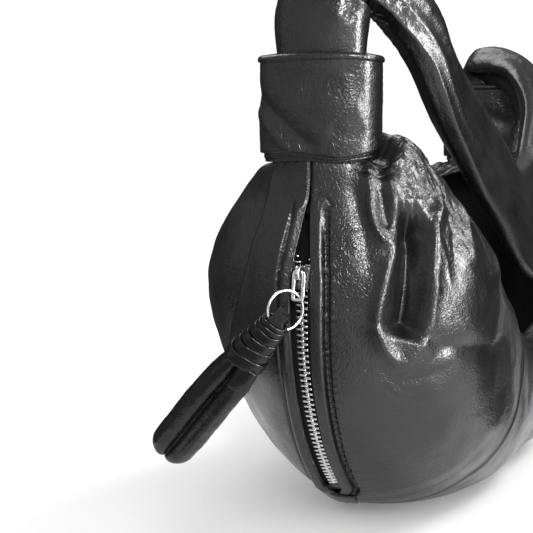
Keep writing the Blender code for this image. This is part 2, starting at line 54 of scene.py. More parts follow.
# The bag's form, in millimetres, as in the CAD.
ZIP_X, ZIP_Z, ZIP_R = -40.0, 100.0, 110.0
SKIN_RISE = 3.5
ZIP_TOP, ZIP_BOTTOM = 22.0, -50.0
SLIDER_ANGLE = 7.3
TOOTH_PITCH = 2.54
CUFF_X, CUFF_LOW, CUFF_HIGH = -131.0, 166.0, 207.0
CUFF_HALF_Y, CUFF_HALF_X = 26.2, 14.6
FAR_DROP = 17.0
STRAP_BEND_Z = 230.0
LAST_STATION = 9.0
SEAM_STATION = 7.0
FAR_SEAM_STATION = 2 * LAST_STATION - SEAM_STATION
SEAM_GAP = 0.012
ARC_STATIONS = (24.0, 6.0, -13.0, -32.0, -50.0)
OUTER = [(-142.2, 178.0), (-142.2, 161.5)]
for arc_angle in ARC_STATIONS:
    turned = math.radians(arc_angle)
    reach = ZIP_R + SKIN_RISE
    OUTER.append((ZIP_X - reach * math.cos(turned), ZIP_Z + reach * math.sin(turned)))
OUTER += [(-92.0, 2.0), (-50.0, -8.0), (0.0, -9.0)]
INNER = [(-119.8, 178), (-119.8, 161.5), (-102, 160), (-95, 143), (-84, 124)]
INNER += [(-66, 106), (-45, 90), (-28, 80), (-12, 74), (0, 72)]
HALF_WIDTH = {
    -1: [21.5, 22.0, 44.0, 58.0, 64.6, 67.5, 68.5, 68.0, 66.5, 65.5],
    1: [21.5, 22.0, 35.5, 51.5, 61.5, 67.0, 69.0, 69.0, 67.0, 66.0],
}
SIDES = ((-1, "front"), (1, "back"))
LOWER_ROUND = {-1: 2.3, 1: 1.3}
RIM_SHARE = [0.0, 0.0, 0.0, 0.70, 0.80, 0.84, 0.86, 0.86, 0.86, 0.86]
WIDEST = 0.62
SLOT_SHAPE_U = (1.9, 2.12, 2.4, 2.7, 2.95, 3.3, 3.8, 5.95, 6.2)
SLOT_SHAPE = (0.3, 0.9, 2.0, 3.5, 4.6, 4.7, 4.4, 4.3, 0.3)


def smoothstep(x):
    x = np.clip(x, 0.0, 1.0)
    return x * x * (3 - 2 * x)


def hump(x, centre, width, power=2):
    """1 at the centre, fading out to both sides."""
    return np.exp(-(((x - centre) / width) ** power))


def unit(vectors):
    return vectors / np.maximum(np.linalg.norm(vectors, axis=-1, keepdims=True), 1e-9)


def signed_power(x, power):
    return np.sign(x) * np.abs(x) ** power


def run_length(path):
    """Length along a path up to each of its points."""
    steps = np.linalg.norm(np.diff(path, axis=0), axis=-1)
    return np.concatenate([[0.0], np.cumsum(steps)])


def curve(points, t):
    """Points at parameters t on the smooth curve through the given points, one per whole number."""
    p = np.asarray(points, float)
    if p.ndim == 1:
        p = p[:, None]
    t = np.atleast_1d(np.asarray(t, float))
    i = np.clip(t.astype(int), 0, len(p) - 2)
    f = (t - i)[:, None]
    ends = np.vstack([2 * p[0] - p[1], p, 2 * p[-1] - p[-2]])
    p0, p1, p2, p3 = ends[i], ends[i + 1], ends[i + 2], ends[i + 3]
    return 0.5 * (
        2 * p1
        + (p2 - p0) * f
        + (2 * p0 - 5 * p1 + 4 * p2 - p3) * f**2
        + (3 * p1 - 3 * p2 + p3 - p0) * f**3
    )


def evenly(points, count):
    return curve(points, np.linspace(0, len(points) - 1, count))


def stations(u, side=-1):
    half = [(*o, *i, w, r) for o, i, w, r in zip(OUTER, INNER, HALF_WIDTH[side], RIM_SHARE)]
    both = half + [(-a, b, -c, d, w, r) for a, b, c, d, w, r in half[-2::-1]]
    return curve(both, u)


def slot_half(u):
    return np.interp(u, SLOT_SHAPE_U, SLOT_SHAPE)


def from_end(u):
    return np.minimum(u, 2 * LAST_STATION - u)


def skin(u, s, side):
    """Outer face of the leather, before folds: u from horn to horn, s from the outer seam to the rim."""
    u, s = np.broadcast_arrays(np.asarray(u, float), np.asarray(s, float))
    v = stations(u.ravel(), side).reshape(*u.shape, 6)
    h = (1 - np.cos(np.pi * s)) / 2
    half = v[..., 4]
    power = LOWER_ROUND[side]
    rim = np.clip(v[..., 5], 0.0, 0.95)
    start = slot_half(u) + side * 5.0 * smoothstep((from_end(u) - 6.3) / 0.9)
    low = (1 - np.clip(1 - h / WIDEST, 0, 1) ** power) ** (1 / power)
    high = rim + (1 - rim) * np.sqrt(np.clip(1 - ((h - WIDEST) / (1 - WIDEST)) ** 2, 0, 1))
    y = start + (half - start) * np.where(h < WIDEST, low, high)
    end = np.where(rim > 0.01, rim * half, 0.25)
    y = np.where(h >= WIDEST, np.maximum(y, np.minimum(end, half)), y)
    y = np.maximum(y, 0.25)
    x = v[..., 0] + (v[..., 2] - v[..., 0]) * h
    z = v[..., 1] + (v[..., 3] - v[..., 1]) * h
    z = z * (1 - smoothstep((x + 120) / 240) * FAR_DROP / CUFF_LOW)
    return np.stack([x, side * y, np.maximum(z, 0.0)], axis=-1)


def grid_normals(points, outward):
    n = unit(np.cross(np.gradient(points, axis=1), np.gradient(points, axis=0)))
    return n * np.where((n * outward).sum(-1, keepdims=True) < 0, -1.0, 1.0)


def skin_with_normals(u, s, side):
    points = skin(u, s, side)
    v = stations(np.broadcast_to(u, points.shape[:2]).ravel()).reshape(*points.shape[:2], 6)
    middle = np.stack(
        [(v[..., 0] + v[..., 2]) / 2, np.zeros(points.shape[:2]), (v[..., 1] + v[..., 3]) / 2],
        axis=-1,
    )
    return points, grid_normals(points, points - middle)


def near_spot(points, spot, reach):
    """1 at a spot, fading out round it."""
    return hump(np.linalg.norm(points - np.array(spot), axis=-1), 0.0, reach)


def near_line(points, line, steps=40):
    """Distance of each point from a smooth line, and its place along the line from 0 to 1."""
    dense = evenly(line, steps)
    flat = points.reshape(-1, 3)
    best = np.full(len(flat), 1e9)
    place = np.zeros(len(flat))
    for i, (a, b) in enumerate(zip(dense, dense[1:])):
        ab = b - a
        t = np.clip(((flat - a) @ ab) / (ab @ ab), 0, 1)
        d = np.linalg.norm(flat - (a + t[:, None] * ab), axis=1)
        closer = d < best
        best = np.where(closer, d, best)
        place = np.where(closer, (i + t) / (len(dense) - 1), place)
    return best.reshape(points.shape[:-1]), place.reshape(points.shape[:-1])


def fold(points, line, width, height, sharp=1.5, fade=0.18):
    """A raised (or, with a negative height, sunk) fold along a line; it dies away at both ends."""
    d, place = near_line(points, line)
    ends = smoothstep(place / fade) * smoothstep((1 - place) / fade) if fade else 1.0
    return height * ends / (1 + (d / width) ** 2) ** sharp


def noise_field(points, scale, seed, octaves=3, ridged=False):
    """Smooth noise between about -1 and 1 at points in millimetres; scale is the size of one feature."""
    flat = points.reshape(-1, 3) / scale + seed
    if ridged:
        values = [1 - 2 * abs(noise.fractal(Vector(p), 0.9, 2.0, octaves)) for p in flat]
    else:
        values = [noise.fractal(Vector(p), 0.9, 2.0, octaves) for p in flat]
    return np.array(values).reshape(points.shape[:-1])


# ---------------------------------------------------------------- materials


class Shader:
    """A short way to write a material's nodes."""

    def __init__(self, name):
        self.material = bpy.data.materials.new(name)
        self.material.use_nodes = True
        self.tree = self.material.node_tree
        self.bsdf = self.tree.nodes["Principled BSDF"]
        self.coords = self.node("ShaderNodeTexCoord").outputs["Object"]

    def node(self, kind, **settings):
        made = self.tree.nodes.new(kind)
        for key, value in settings.items():
            if key in made.inputs:
                if isinstance(value, bpy.types.NodeSocket):
                    self.tree.links.new(value, made.inputs[key])
                else:
                    made.inputs[key].default_value = value
            else:
                setattr(made, key, value)
        return made

    def noise(self, scale, detail=3.0, rough=0.5, kind="FBM", vector=None, distort=0.0):
        look = {"Scale": scale, "Detail": detail, "Roughness": rough, "Distortion": distort}
        place = vector or self.coords
        made = self.node("ShaderNodeTexNoise", noise_type=kind, normalize=True, Vector=place, **look)
        return made.outputs["Fac"]

    def cells(self, scale, feature="F1", vector=None):
        place = vector or self.coords
        made = self.node("ShaderNodeTexVoronoi", feature=feature, Vector=place, Scale=scale)
        return made.outputs["Distance"]

    def band(self, value, low, high, to_low=0.0, to_high=1.0):
        made = self.node("ShaderNodeMapRange", interpolation_type="SMOOTHSTEP")
        self.tree.links.new(value, made.inputs["Value"])
        for key, number in (
            ("From Min", low), ("From Max", high), ("To Min", to_low), ("To Max", to_high),
        ):
            made.inputs[key].default_value = number
        return made.outputs["Result"]

    def math(self, operation, a, b):
        made = self.node("ShaderNodeMath", operation=operation)
        for socket, value in zip(made.inputs, (a, b)):
            if isinstance(value, bpy.types.NodeSocket):
                self.tree.links.new(value, socket)
            else:
                socket.default_value = value
        return made.outputs[0]

    def warped(self, scale, amount):
        """Coordinates pushed about by noise, so that cells and lines wander."""
        push = self.node("ShaderNodeTexNoise", normalize=False, Vector=self.coords, Scale=scale, Detail=2.0)
        sized = self.node("ShaderNodeVectorMath", operation="SCALE", Scale=amount)
        self.tree.links.new(push.outputs["Color"], sized.inputs[0])
        moved = self.node("ShaderNodeVectorMath", operation="ADD")
        self.tree.links.new(self.coords, moved.inputs[0])
        self.tree.links.new(sized.outputs[0], moved.inputs[1])
        return moved.outputs[0]

    def stretched(self, sizes, vector=None):
        made = self.node("ShaderNodeVectorMath", operation="MULTIPLY")
        self.tree.links.new(vector or self.coords, made.inputs[0])
        made.inputs[1].default_value = sizes
        return made.outputs[0]

    def bump(self, height, distance, strength, under=None):
        made = self.node("ShaderNodeBump", Height=height, Distance=distance, Strength=strength)
        if under:
            self.tree.links.new(under, made.inputs["Normal"])
        return made.outputs["Normal"]

    def put(self, name, value):
        if isinstance(value, bpy.types.NodeSocket):
            self.tree.links.new(value, self.bsdf.inputs[name])
        else:
            self.bsdf.inputs[name].default_value = value

    def colours(self, value, low, high):
        made = self.node("ShaderNodeMix", data_type="RGBA")
        self.tree.links.new(value, made.inputs["Factor"])
        made.inputs["A"].default_value = (*low, 1)
        made.inputs["B"].default_value = (*high, 1)
        return made.outputs["Result"]


def leather_material(name, crackle=1.0, wrinkle=1.0, rough=(0.27, 0.42), tone=1.0, shine=1.0):
    """Black glazed leather: pores, soft wrinkles and, in patches, a net of fine raised crackle lines."""
    m = Shader(name)
    pores = m.cells(1150.0, "SMOOTH_F1")
    grain = m.noise(2100.0, 2.0)
    soft = m.noise(70.0, 4.0, 0.55, distort=0.6)
    creases = m.noise(150.0, 3.0, 0.55, "RIDGED_MULTIFRACTAL", m.warped(40.0, 0.006))
    net_place = m.warped(95.0, 0.0045)
    net = m.cells(190.0, "DISTANCE_TO_EDGE", net_place)
    fine_net = m.cells(420.0, "DISTANCE_TO_EDGE", m.warped(150.0, 0.002))
    lines = m.band(net, 0.0, 0.05, 1.0, 0.0)
    fine_lines = m.band(fine_net, 0.0, 0.07, 1.0, 0.0)
    patches = m.band(m.noise(22.0, 2.0), 0.47, 0.66)
    patches_fine = m.band(m.noise(31.0, 2.0, vector=m.stretched((1.0, 1.2, 0.8))), 0.48, 0.64)
    n = m.bump(soft, 0.0014, 0.2 * wrinkle)
    n = m.bump(creases, 0.0008, 0.06 * wrinkle, n)
    n = m.bump(m.math("MULTIPLY", lines, patches), 0.0003, 0.3 * crackle, n)
    n = m.bump(m.math("MULTIPLY", fine_lines, patches_fine), 0.00016, 0.35 * crackle, n)
    n = m.bump(pores, 0.00025, 0.5, n)
    n = m.bump(grain, 0.0001, 0.3, n)
    m.put("Normal", n)
    m.put("Coat Normal", n)
    dark = tuple(0.0028 * tone * c for c in (1.0, 1.0, 1.03))
    pale = tuple(0.0065 * tone * c for c in (1.0, 1.0, 1.02))
    m.put("Base Color", m.colours(m.noise(35.0, 4.0, 0.6), dark, pale))
    m.put("Roughness", m.band(m.noise(48.0, 4.0, 0.6), 0.3, 0.7, rough[0], rough[1]))
    m.put("IOR", 1.5)
    m.put("Specular IOR Level", 0.5 * shine)
    m.put("Coat Weight", 0.35 * shine)
    m.put("Coat Roughness", 0.2)
    return m.material


def metal_material(name, tone=0.86, rough=(0.10, 0.22)):
    m = Shader(name)
    scratches = m.noise(900.0, 3.0, vector=m.stretched((1.0, 6.0, 1.0)))
    m.put("Base Color", m.colours(m.noise(300.0, 2.0), (tone, tone, tone), (tone * 0.9,) * 3))
    m.put("Roughness", m.band(scratches, 0.3, 0.7, rough[0], rough[1]))
    m.put("Metallic", 1.0)
    m.put("Normal", m.bump(scratches, 0.00005, 0.12))
    return m.material


def cloth_material(name, scale, colour, strength=0.6, twill=True):
    m = Shader(name)
    look = {"Vector": m.coords, "Scale": scale, "Distortion": 0.6 if twill else 2.0}
    weave = m.node("ShaderNodeTexWave", wave_type="BANDS", bands_direction="DIAGONAL", **look)
    threads = m.cells(scale * 2.6)
    n = m.bump(weave.outputs["Fac"], 0.0002, strength)
    m.put("Normal", m.bump(threads, 0.00015, strength * 0.6, n))
    m.put("Base Color", m.colours(m.noise(200.0, 3.0), colour, tuple(c * 1.9 for c in colour)))
    m.put("Roughness", 0.86)
    m.put("Specular IOR Level", 0.25)
    m.put("Sheen Weight", 0.06)
    return m.material


LEATHER = leather_material("body_leather")
LEATHER_CUFF = leather_material("cuff_leather", crackle=1.2, wrinkle=0.6)
LEATHER_STRAP = leather_material("strap_leather", crackle=0.5, wrinkle=1.0, rough=(0.26, 0.4))
LEATHER_PULLER = leather_material("puller_leather", crackle=0.3, wrinkle=0.6, rough=(0.2, 0.32), shine=0.62)
RAW_EDGE = cloth_material("raw_leather_edge", 700.0, (0.014, 0.014, 0.014), 1.0, twill=False)
THREAD = cloth_material("thread", 1500.0, (0.003, 0.003, 0.003), 0.8)
TAPE = cloth_material("zip_tape_cloth", 650.0, (0.0016, 0.0016, 0.0016))
LINING = cloth_material("lining_cloth", 420.0, (0.004, 0.004, 0.0045))
NICKEL = metal_material("polished_nickel")
SATIN = metal_material("satin_nickel", 0.6, (0.26, 0.4))
# Painted shade: a darker copy of the polished nickel, so the slider's plates, neck and flanges read as
# shaded under the bright bail and tab.
SHADED_NICKEL = metal_material("nickel_painted_shade", 0.16, (0.2, 0.32))


# ---------------------------------------------------------------- mesh helpers


ON_SLIDER = {"body": "slider", "slot": "zip_metal"}
ON_PULLER = {"body": "puller", "slot": "leather_puller"}


def linked(name, data):
    """A new object in the scene."""
    ob = bpy.data.objects.new(name, data)
    bpy.context.scene.collection.objects.link(ob)
    return ob


def add_piece(mesh, material, body="bag", slot="leather", replaces=()):
    ob = linked(mesh.name, mesh)
    mesh.materials.append(material)
    if body:
        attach(ob, body)
    if replaces:
        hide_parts(*replaces)
    return ob


def grid_mesh(name, points, wrap_rows=False, wrap_columns=False, caps=False):
    """Quad mesh through a grid of points (rows, columns, 3) in millimetres."""
    rows, columns = points.shape[:2]
    index = np.arange(rows * columns).reshape(rows, columns)
    if wrap_columns:
        index = np.hstack([index, index[:, :1]])
    if wrap_rows:
        index = np.vstack([index, index[:1]])
    faces = np.stack([index[:-1, :-1], index[:-1, 1:], index[1:, 1:], index[1:, :-1]], axis=-1)
    faces = faces.reshape(-1, 4).tolist()
    if caps:
        faces += [list(range(columns))[::-1], list(range((rows - 1) * columns, rows * columns))]
    mesh = bpy.data.meshes.new(name)
    mesh.from_pydata((points.reshape(-1, 3) * MM).tolist(), [], faces)
    mesh.shade_smooth()
    return mesh


def outward_faces(mesh):
    bm = bmesh.new()
    bm.from_mesh(mesh)
    bmesh.ops.recalc_face_normals(bm, faces=bm.faces)
    bm.to_mesh(mesh)
    bm.free()
    return mesh


def add_grid(name, points, material, wraps="", thickness=0.0, offset=0.0, **fit):
    """A piece made of a grid: wraps names what is closed, and a thickness makes a sheet solid."""
    options = {key: key.split("_")[-1] in wraps for key in ("wrap_rows", "wrap_columns", "caps")}
    mesh = grid_mesh(name, np.asarray(points), **options)
    piece = add_piece(outward_faces(mesh), material, **fit)
    if thickness:
        thick = piece.modifiers.new("thickness", "SOLIDIFY")
        thick.thickness = thickness * MM
        thick.offset = offset
    return piece


def ring_faces(rings, sides):
    """Faces of a closed row of rings, each with as many points as sides."""
    faces = []
    for i in range(rings - 1):
        for j in range(sides):
            k = (j + 1) % sides
            faces.append([i * sides + j, i * sides + k, (i + 1) * sides + k, (i + 1) * sides + j])
    faces.append(list(range(sides))[::-1])
    faces.append([(rings - 1) * sides + j for j in range(sides)])
    return faces


def merged(name, parts):
    """One mesh out of several grids' vertex and face lists."""
    points, faces, start = [], [], 0
    for part_points, part_faces in parts:
        points += part_points
        faces += [[i + start for i in f] for f in part_faces]
        start += len(part_points)
    mesh = bpy.data.meshes.new(name)
    mesh.from_pydata([[c * MM for c in p] for p in points], [], faces)
    mesh.shade_smooth()
    return mesh


def superellipse(half_a, half_b, count, power=2.4):
    angle = np.arange(count) * 2 * np.pi / count
    c, s = np.cos(angle), np.sin(angle)
    return half_a * signed_power(c, 2 / power), half_b * signed_power(s, 2 / power)


def path_frames(path, facing):
    """Directions along and across a path; facing says which way its broad side is turned."""
    ahead = unit(np.gradient(path, axis=0))
    across = unit(facing - ahead * (facing * ahead).sum(1, keepdims=True))
    return across, np.cross(ahead, across)


def tube_points(path, radius, sides=10):
    """Rings of points round a path of constant radius."""
    ahead = unit(np.gradient(path, axis=0))
    pick = np.where(np.abs(ahead[:, 2:3]) < 0.8, [[0.0, 0.0, 1.0]], [[1.0, 0.0, 0.0]])
    u = unit(np.cross(ahead, pick))
    v = np.cross(ahead, u)
    angle = np.arange(sides) * 2 * np.pi / sides
    ring = np.cos(angle)[None, :, None] * u[:, None] + np.sin(angle)[None, :, None] * v[:, None]
    return path[:, None] + ring * np.asarray(radius).reshape(-1, 1, 1)


def capsule(a, b, radius, sides=6):
    """A short thread from a to b with rounded ends, as points and faces."""
    a, b = np.asarray(a, float), np.asarray(b, float)
    t = np.array([0.0, 0.06, 0.2, 0.5, 0.8, 0.94, 1.0])
    r = np.array([0.3, 0.75, 1.0, 1.0, 1.0, 0.75, 0.3]) * radius
    path = a + (b - a) * t[:, None]
    rings = tube_points(path, r, sides)
    return rings.reshape(-1, 3).tolist(), ring_faces(len(t), sides)


# ---------------------------------------------------------------- folds in the body leather

# Lines on the leather in millimetres, from the cuff down.
POCKET_RIM = [
    (-126, -26, 162), (-135, -33, 150), (-141, -38, 131), (-146, -36, 117), (-149, -33, 100),
    (-147, -35, 88), (-143, -40, 81), (-140, -46, 85), (-138, -50, 95), (-136, -52, 113),
    (-130, -50, 133), (-120, -49, 147), (-108, -46, 152),
]
POCKET_FLOOR = [(-133, -39, 146), (-139, -44, 128), (-142, -44, 112), (-143, -42, 98), (-144, -40, 90)]
FIRST_PLEAT = [(-134, -21, 162), (-138, -25, 150), (-142, -28, 139), (-143, -33, 131), (-140, -37, 130)]
BETWEEN_PLEATS = [(-128, -25, 160), (-137, -29, 149), (-140, -32, 140), (-141, -35, 134)]
# The folded edge on the back: how far back it lies at each height.
BACK_EDGE_Z = [60, 80, 100, 120, 140, 164]
BACK_EDGE_Y = [50, 42, 33, 27, 21.5, 18]
FRONT_FOLDS = [
    # line, width, height, sharpness
    (POCKET_RIM, 3.4, 3.8, 1.6),
    (POCKET_FLOOR, 7.0, -14.5, 1.8),
    (FIRST_PLEAT, 2.9, 3.4, 1.6),
    (BETWEEN_PLEATS, 2.4, -1.8, 1.6),
    ([(-136, -16, 158), (-142, -21, 144), (-145, -26, 130), (-148, -29, 112)], 3.6, -1.5, 1.5),
    ([(-112, -42, 157), (-108, -52, 146), (-112, -57, 132), (-120, -59, 112)], 3.6, 2.2, 1.5),
    ([(-118, -43, 153), (-119, -52, 140), (-125, -56, 122), (-128, -56, 104)], 3.2, -1.8, 1.5),
    ([(-101, -44, 150), (-98, -54, 138), (-100, -60, 124), (-106, -63, 106)], 3.8, -1.6, 1.5),
    ([(-93, -52, 142), (-90, -60, 126), (-95, -64, 106)], 4.0, 1.6, 1.5),
    ([(-124, -33, 156), (-127, -40, 147), (-128, -46, 139)], 2.2, -2.6, 1.6),
    ([(-116, -38, 157), (-118, -44, 150), (-122, -48, 143)], 2.0, -2.0, 1.6),
    ([(-147, -30, 84), (-142, -40, 74), (-132, -52, 76), (-118, -60, 82)], 3.0, -1.2, 1.5),
    ([(-151, -20, 104), (-149, -27, 86), (-140, -42, 68), (-122, -56, 66)], 1.0, -0.55, 1.5),
    ([(-139, -50, 85), (-129, -59, 86), (-116, -64, 84), (-98, -67, 80), (-76, -68, 77)], 5.0, -2.4, 1.5),
    ([(-144, -1, 148), (-144, -7, 147), (-143, -11, 143)], 0.8, -0.8, 1.5),
    ([(-148, -26, 78), (-138, -44, 62), (-118, -58, 64)], 0.8, -0.45, 1.5),
    ([(-144, -28, 66), (-130, -48, 58), (-110, -61, 66)], 0.8, -0.4, 1.5),
]
BACK_FOLDS = [
    ([(-144, 1, 148), (-143, 7, 150), (-141, 14, 151)], 0.8, -0.9, 1.5),
    ([(-108, 36, 156), (-106, 50, 140), (-108, 61, 122), (-110, 66, 100)], 6.5, 2.0, 1.5),
    ([(-99, 42, 152), (-95, 58, 136), (-96, 68, 116)], 6.5, -1.8, 1.5),
]


def zip_band(u, distance, arc, side, points):
    """Turned band beside the zip: a soft roll, a sewn groove and puckers across the stitches."""
    inside = smoothstep((u - 1.98) / 0.22) * smoothstep((6.25 - u) / 0.2)
    wander = 0.5 * noise_field(points, 26.0, 15.0, 1)
    if side < 0:
        roll = (0.2 + 0.25 * wander) * hump(distance, 3.1, 2.5)
        groove = -2.5 * hump(distance, 6.8 + wander, 1.7, 4)
    else:
        roll = 1.5 * hump(distance, 3.0, 2.2)
        groove = -2.1 * hump(distance, 6.5 + wander, 1.0)
    ripple = np.sin(2 * np.pi * arc / 3.2 + 4.6 * noise_field(points, 9.0, 5.0, 2))
    ripple *= 0.75 + 0.7 * noise_field(points * np.array([0.0, 0.0, 1.0]), 11.0, 35.0, 1)
    reach = 2.6 + 1.6 * noise_field(points * np.array([0.0, 0.0, 1.0]), 6.0, 33.0, 1)
    pucker = 0.5 * ripple * hump(distance, 7.4, reach)
    pucker *= smoothstep((distance - 4.9) / 1.4)
    if side > 0:
        pucker *= 0.12
    seam = -0.8 * hump(distance, 0.0, 0.8) * (1 - inside)
    deeper = smoothstep((u - 1.98) / 0.6)
    return inside * (roll + deeper * groove + pucker) + seam * smoothstep((u - 0.4) / 0.5)


def back_edge(points):
    """The flat strip beside the zip ends in a crest, and the leather drops back into a hollow behind it."""
    beyond = 0.9 * (points[..., 1] - np.interp(points[..., 2], BACK_EDGE_Z, BACK_EDGE_Y))
    drop = np.clip(beyond / 3.0, 0.0, 1.0) ** 0.85
    crest = 2.6 * np.where(beyond < 0, np.exp(beyond / 8.0), 1 - drop)
    height = points[..., 2]
    hollow = -5.5 * drop * hump(np.maximum(beyond - 3.0, 0.0), 0.0, 10.0)
    hollow *= smoothstep((156 - height) / 16.0)
    return (crest + hollow) * smoothstep((168 - height) / 8.0) * smoothstep((height - 55) / 30.0)


def folds(points, u, s, side, distance, arc):
    """How far the leather stands out from its plain form, in millimetres."""
    end = from_end(u)
    near = u < LAST_STATION
    rise = np.zeros(u.shape)
    if near.any():
        for line, width, height, sharp in FRONT_FOLDS if side < 0 else BACK_FOLDS:
            rise += fold(points, line, width, height, sharp)
        if side > 0:
            rise += np.where(near, back_edge(points), 0.0)
        bulge = near_spot(points, (-106.0, 60.0 * side, 110.0), 25.0)
        rise += np.where(near, (4.4 if side < 0 else 1.2) * bulge, 0.0)
    pleat_place = np.stack([s * 95 + 6 * side, end * 9, s * 0 + side * 3.0], axis=-1)
    pleats = noise_field(pleat_place, 7.0, 3.0, 3, ridged=True)
    strength = smoothstep((end - 0.9) / 0.7) * (1 - smoothstep((end - 2.2) / 2.6))
    calm = smoothstep((s - 0.16) / 0.14) if side < 0 else smoothstep((s - 0.22) / 0.1)
    by_side = 0.55 if side < 0 else 0.2
    rise += np.where(near, by_side, 1.9) * (pleats - 0.55) * strength * calm
    rise += 1.3 * noise_field(points, 42.0, 1.0 + side, 3) * smoothstep((end - 2) / 1.5) * calm
    wrinkle_place = points * np.array([1.0, 1.0, 0.55])
    wrinkles = noise_field(wrinkle_place, 6.5, 9.0, 4, ridged=True)
    around = near_spot(points, (-122.0, -44.0, 150.0), 15)
    if side > 0:
        around = 0.8 * near_spot(points, (-140.0, 34.0, 132.0), 16)
    rise += 0.45 * (wrinkles - 0.4) * (0.05 + around) * calm * smoothstep((end - 0.8) / 0.5)
    rise += zip_band(u, distance, arc, side, points)
    return rise


def hem(distance_to_rim, end):
    """A sewn hem along the mouth."""
    open_mouth = smoothstep((end - 2.6) / 0.5)
    groove = -0.55 * hump(distance_to_rim, 7.0, 0.8)
    roll = 0.45 * hump(distance_to_rim, 2.6, 2.4)
    return open_mouth * (groove + roll)


def row_distance(points):
    step = np.linalg.norm(np.diff(points, axis=1), axis=-1)
    return np.hstack([np.zeros((len(points), 1)), np.cumsum(step, axis=1)])


# How a panel's edge turns in at the seam (outward, depth) and at the rim (column, depth).
SEAM_PROFILE = ((3.2, 3.3), (1.2, 3.1), (0.1, 2.7), (-0.32, 2.0), (-0.36, 1.2), (-0.1, 0.5))
RIM_PROFILE = ((-1, 0.9), (-1, 2.0), (-2, 2.9), (-4, 3.2), (-9, 3.3), (-14, 3.3))
STITCH_ROWS = []


def body_panel(name, side, first, last, rows, columns, node):
    by_the_zip = 0.062 if side < 0 else 0.16
    across = np.linspace(by_the_zip, 1.0, columns)
    across = np.concatenate([np.linspace(0.0, by_the_zip, 46)[:-1], across])
    columns = len(across)
    u = np.linspace(first, last, rows)[:, None] * np.ones((1, columns))
    s = np.ones((rows, 1)) * across[None, :]
    base, normal = skin_with_normals(u, s, side)
    distance = row_distance(base)
    arc = run_length(base[:, 0])[:, None] * np.ones((1, columns))
    end = from_end(u)
    rise = folds(base, u, s, side, distance, arc)
    rise += hem(distance[:, -1:] - distance, end)
    for edge in (SEAM_STATION, FAR_SEAM_STATION):
        gap = np.abs(u - edge) * 36.0
        rise += -0.9 * hump(gap, 0.0, 1.6) + 0.25 * hump(gap, 3.2, 1.6)
    points = base + normal * (rise * smoothstep((base[..., 2] + 0.5) / 6.0))[..., None]
    if side < 0:
        heap = hump(u, 1.52, 0.46) * smoothstep((s - 0.12) / 0.4)
        clear = ((points[..., 0] - CUFF_X) / CUFF_HALF_X) ** 2 + (points[..., 1] / CUFF_HALF_Y) ** 2
        points[..., 2] += 12.5 * heap * smoothstep((clear - 1.05) / 1.0)
    points[..., 2] = np.maximum(points[..., 2], 0.0)
    least = 0.2 + (slot_half(u) - 0.5).clip(0) * 0.9
    points[..., 1] = np.where(side * points[..., 1] < least, side * least, points[..., 1])
    edge_half = np.clip(slot_half(u[:, 0]) / 4.0, 0.0, 1.0)
    prefix = []
    for outward, depth in SEAM_PROFILE:
        p = points[:, 0] - normal[:, 0] * depth
        p[:, 1] = points[:, 0, 1] + side * outward * edge_half
        p[:, 1] = side * np.maximum(side * p[:, 1], 0.12)
        prefix.append(p)
    suffix = [points[:, column] - normal[:, column] * depth for column, depth in RIM_PROFILE]
    full = np.stack(prefix, axis=1)
    full = np.concatenate([full, points, np.stack(suffix, axis=1)], axis=1)
    full[..., 2] = np.maximum(full[..., 2], 0.0)
    STITCH_ROWS.append((u, distance, points, normal))
    add_grid(name, full, LEATHER, replaces=(node,))


def body():
    spans = {
        # first and last station, rows, columns
        "near": (0.0, SEAM_STATION - SEAM_GAP, 380, 140),
        "centre": (SEAM_STATION + SEAM_GAP, FAR_SEAM_STATION - SEAM_GAP, 90, 90),
        "far": (FAR_SEAM_STATION + SEAM_GAP, 2 * LAST_STATION, 150, 90),
    }
    for side, word in SIDES:
        for place, (first, last, rows, columns) in spans.items():
            node = f"{word}_{place}_panel"
            body_panel(f"{word}_{place}_leather", side, first, last, rows, columns, node)


def stitch_line(rows, wanted, first_u, last_u, pitch=3.2, length=2.3, lift=-0.25, from_rim=False):
    """Threads that follow a sewn groove at a distance from a panel's edge."""
    u, distance, points, normal = rows
    parts, places, outs = [], [], []
    for i in range(len(u)):
        if not first_u <= u[i, 0] <= last_u:
            continue
        d = distance[i, -1] - distance[i] if from_rim else distance[i]
        j = int(np.argmin(np.abs(d - wanted)))
        places.append(points[i, j])
        outs.append(normal[i, j])
    if len(places) < 3:
        return parts
    places, outs = np.array(places), np.array(outs)
    run = run_length(places)
    kernel = np.ones(5) / 5
    for axis in range(3):
        padded = np.pad(places[:, axis], 2, mode="edge")
        places[:, axis] = np.convolve(padded, kernel, mode="valid")
    position = 1.0
    while position + length < run[-1]:
        ends = []
        for where in (position, position + length):
            p = np.array([np.interp(where, run, places[:, k]) for k in range(3)])
            n = np.array([np.interp(where, run, outs[:, k]) for k in range(3)])
            ends.append(p + n * lift)
        parts.append(capsule(ends[0], ends[1], 0.42))
        position += pitch
    return parts


def stitches():
    zip_parts, hem_parts = [], []
    for rows in STITCH_ROWS:
        if rows[0][0, 0] < 1.0:
            zip_parts += stitch_line(rows, 6.6, 2.35, 6.15)
        hem_parts += stitch_line(rows, 7.0, 3.0, 15.0, from_rim=True)
    add_piece(merged("zip_stitches", zip_parts), THREAD)
    add_piece(merged("hem_stitches", hem_parts), THREAD)


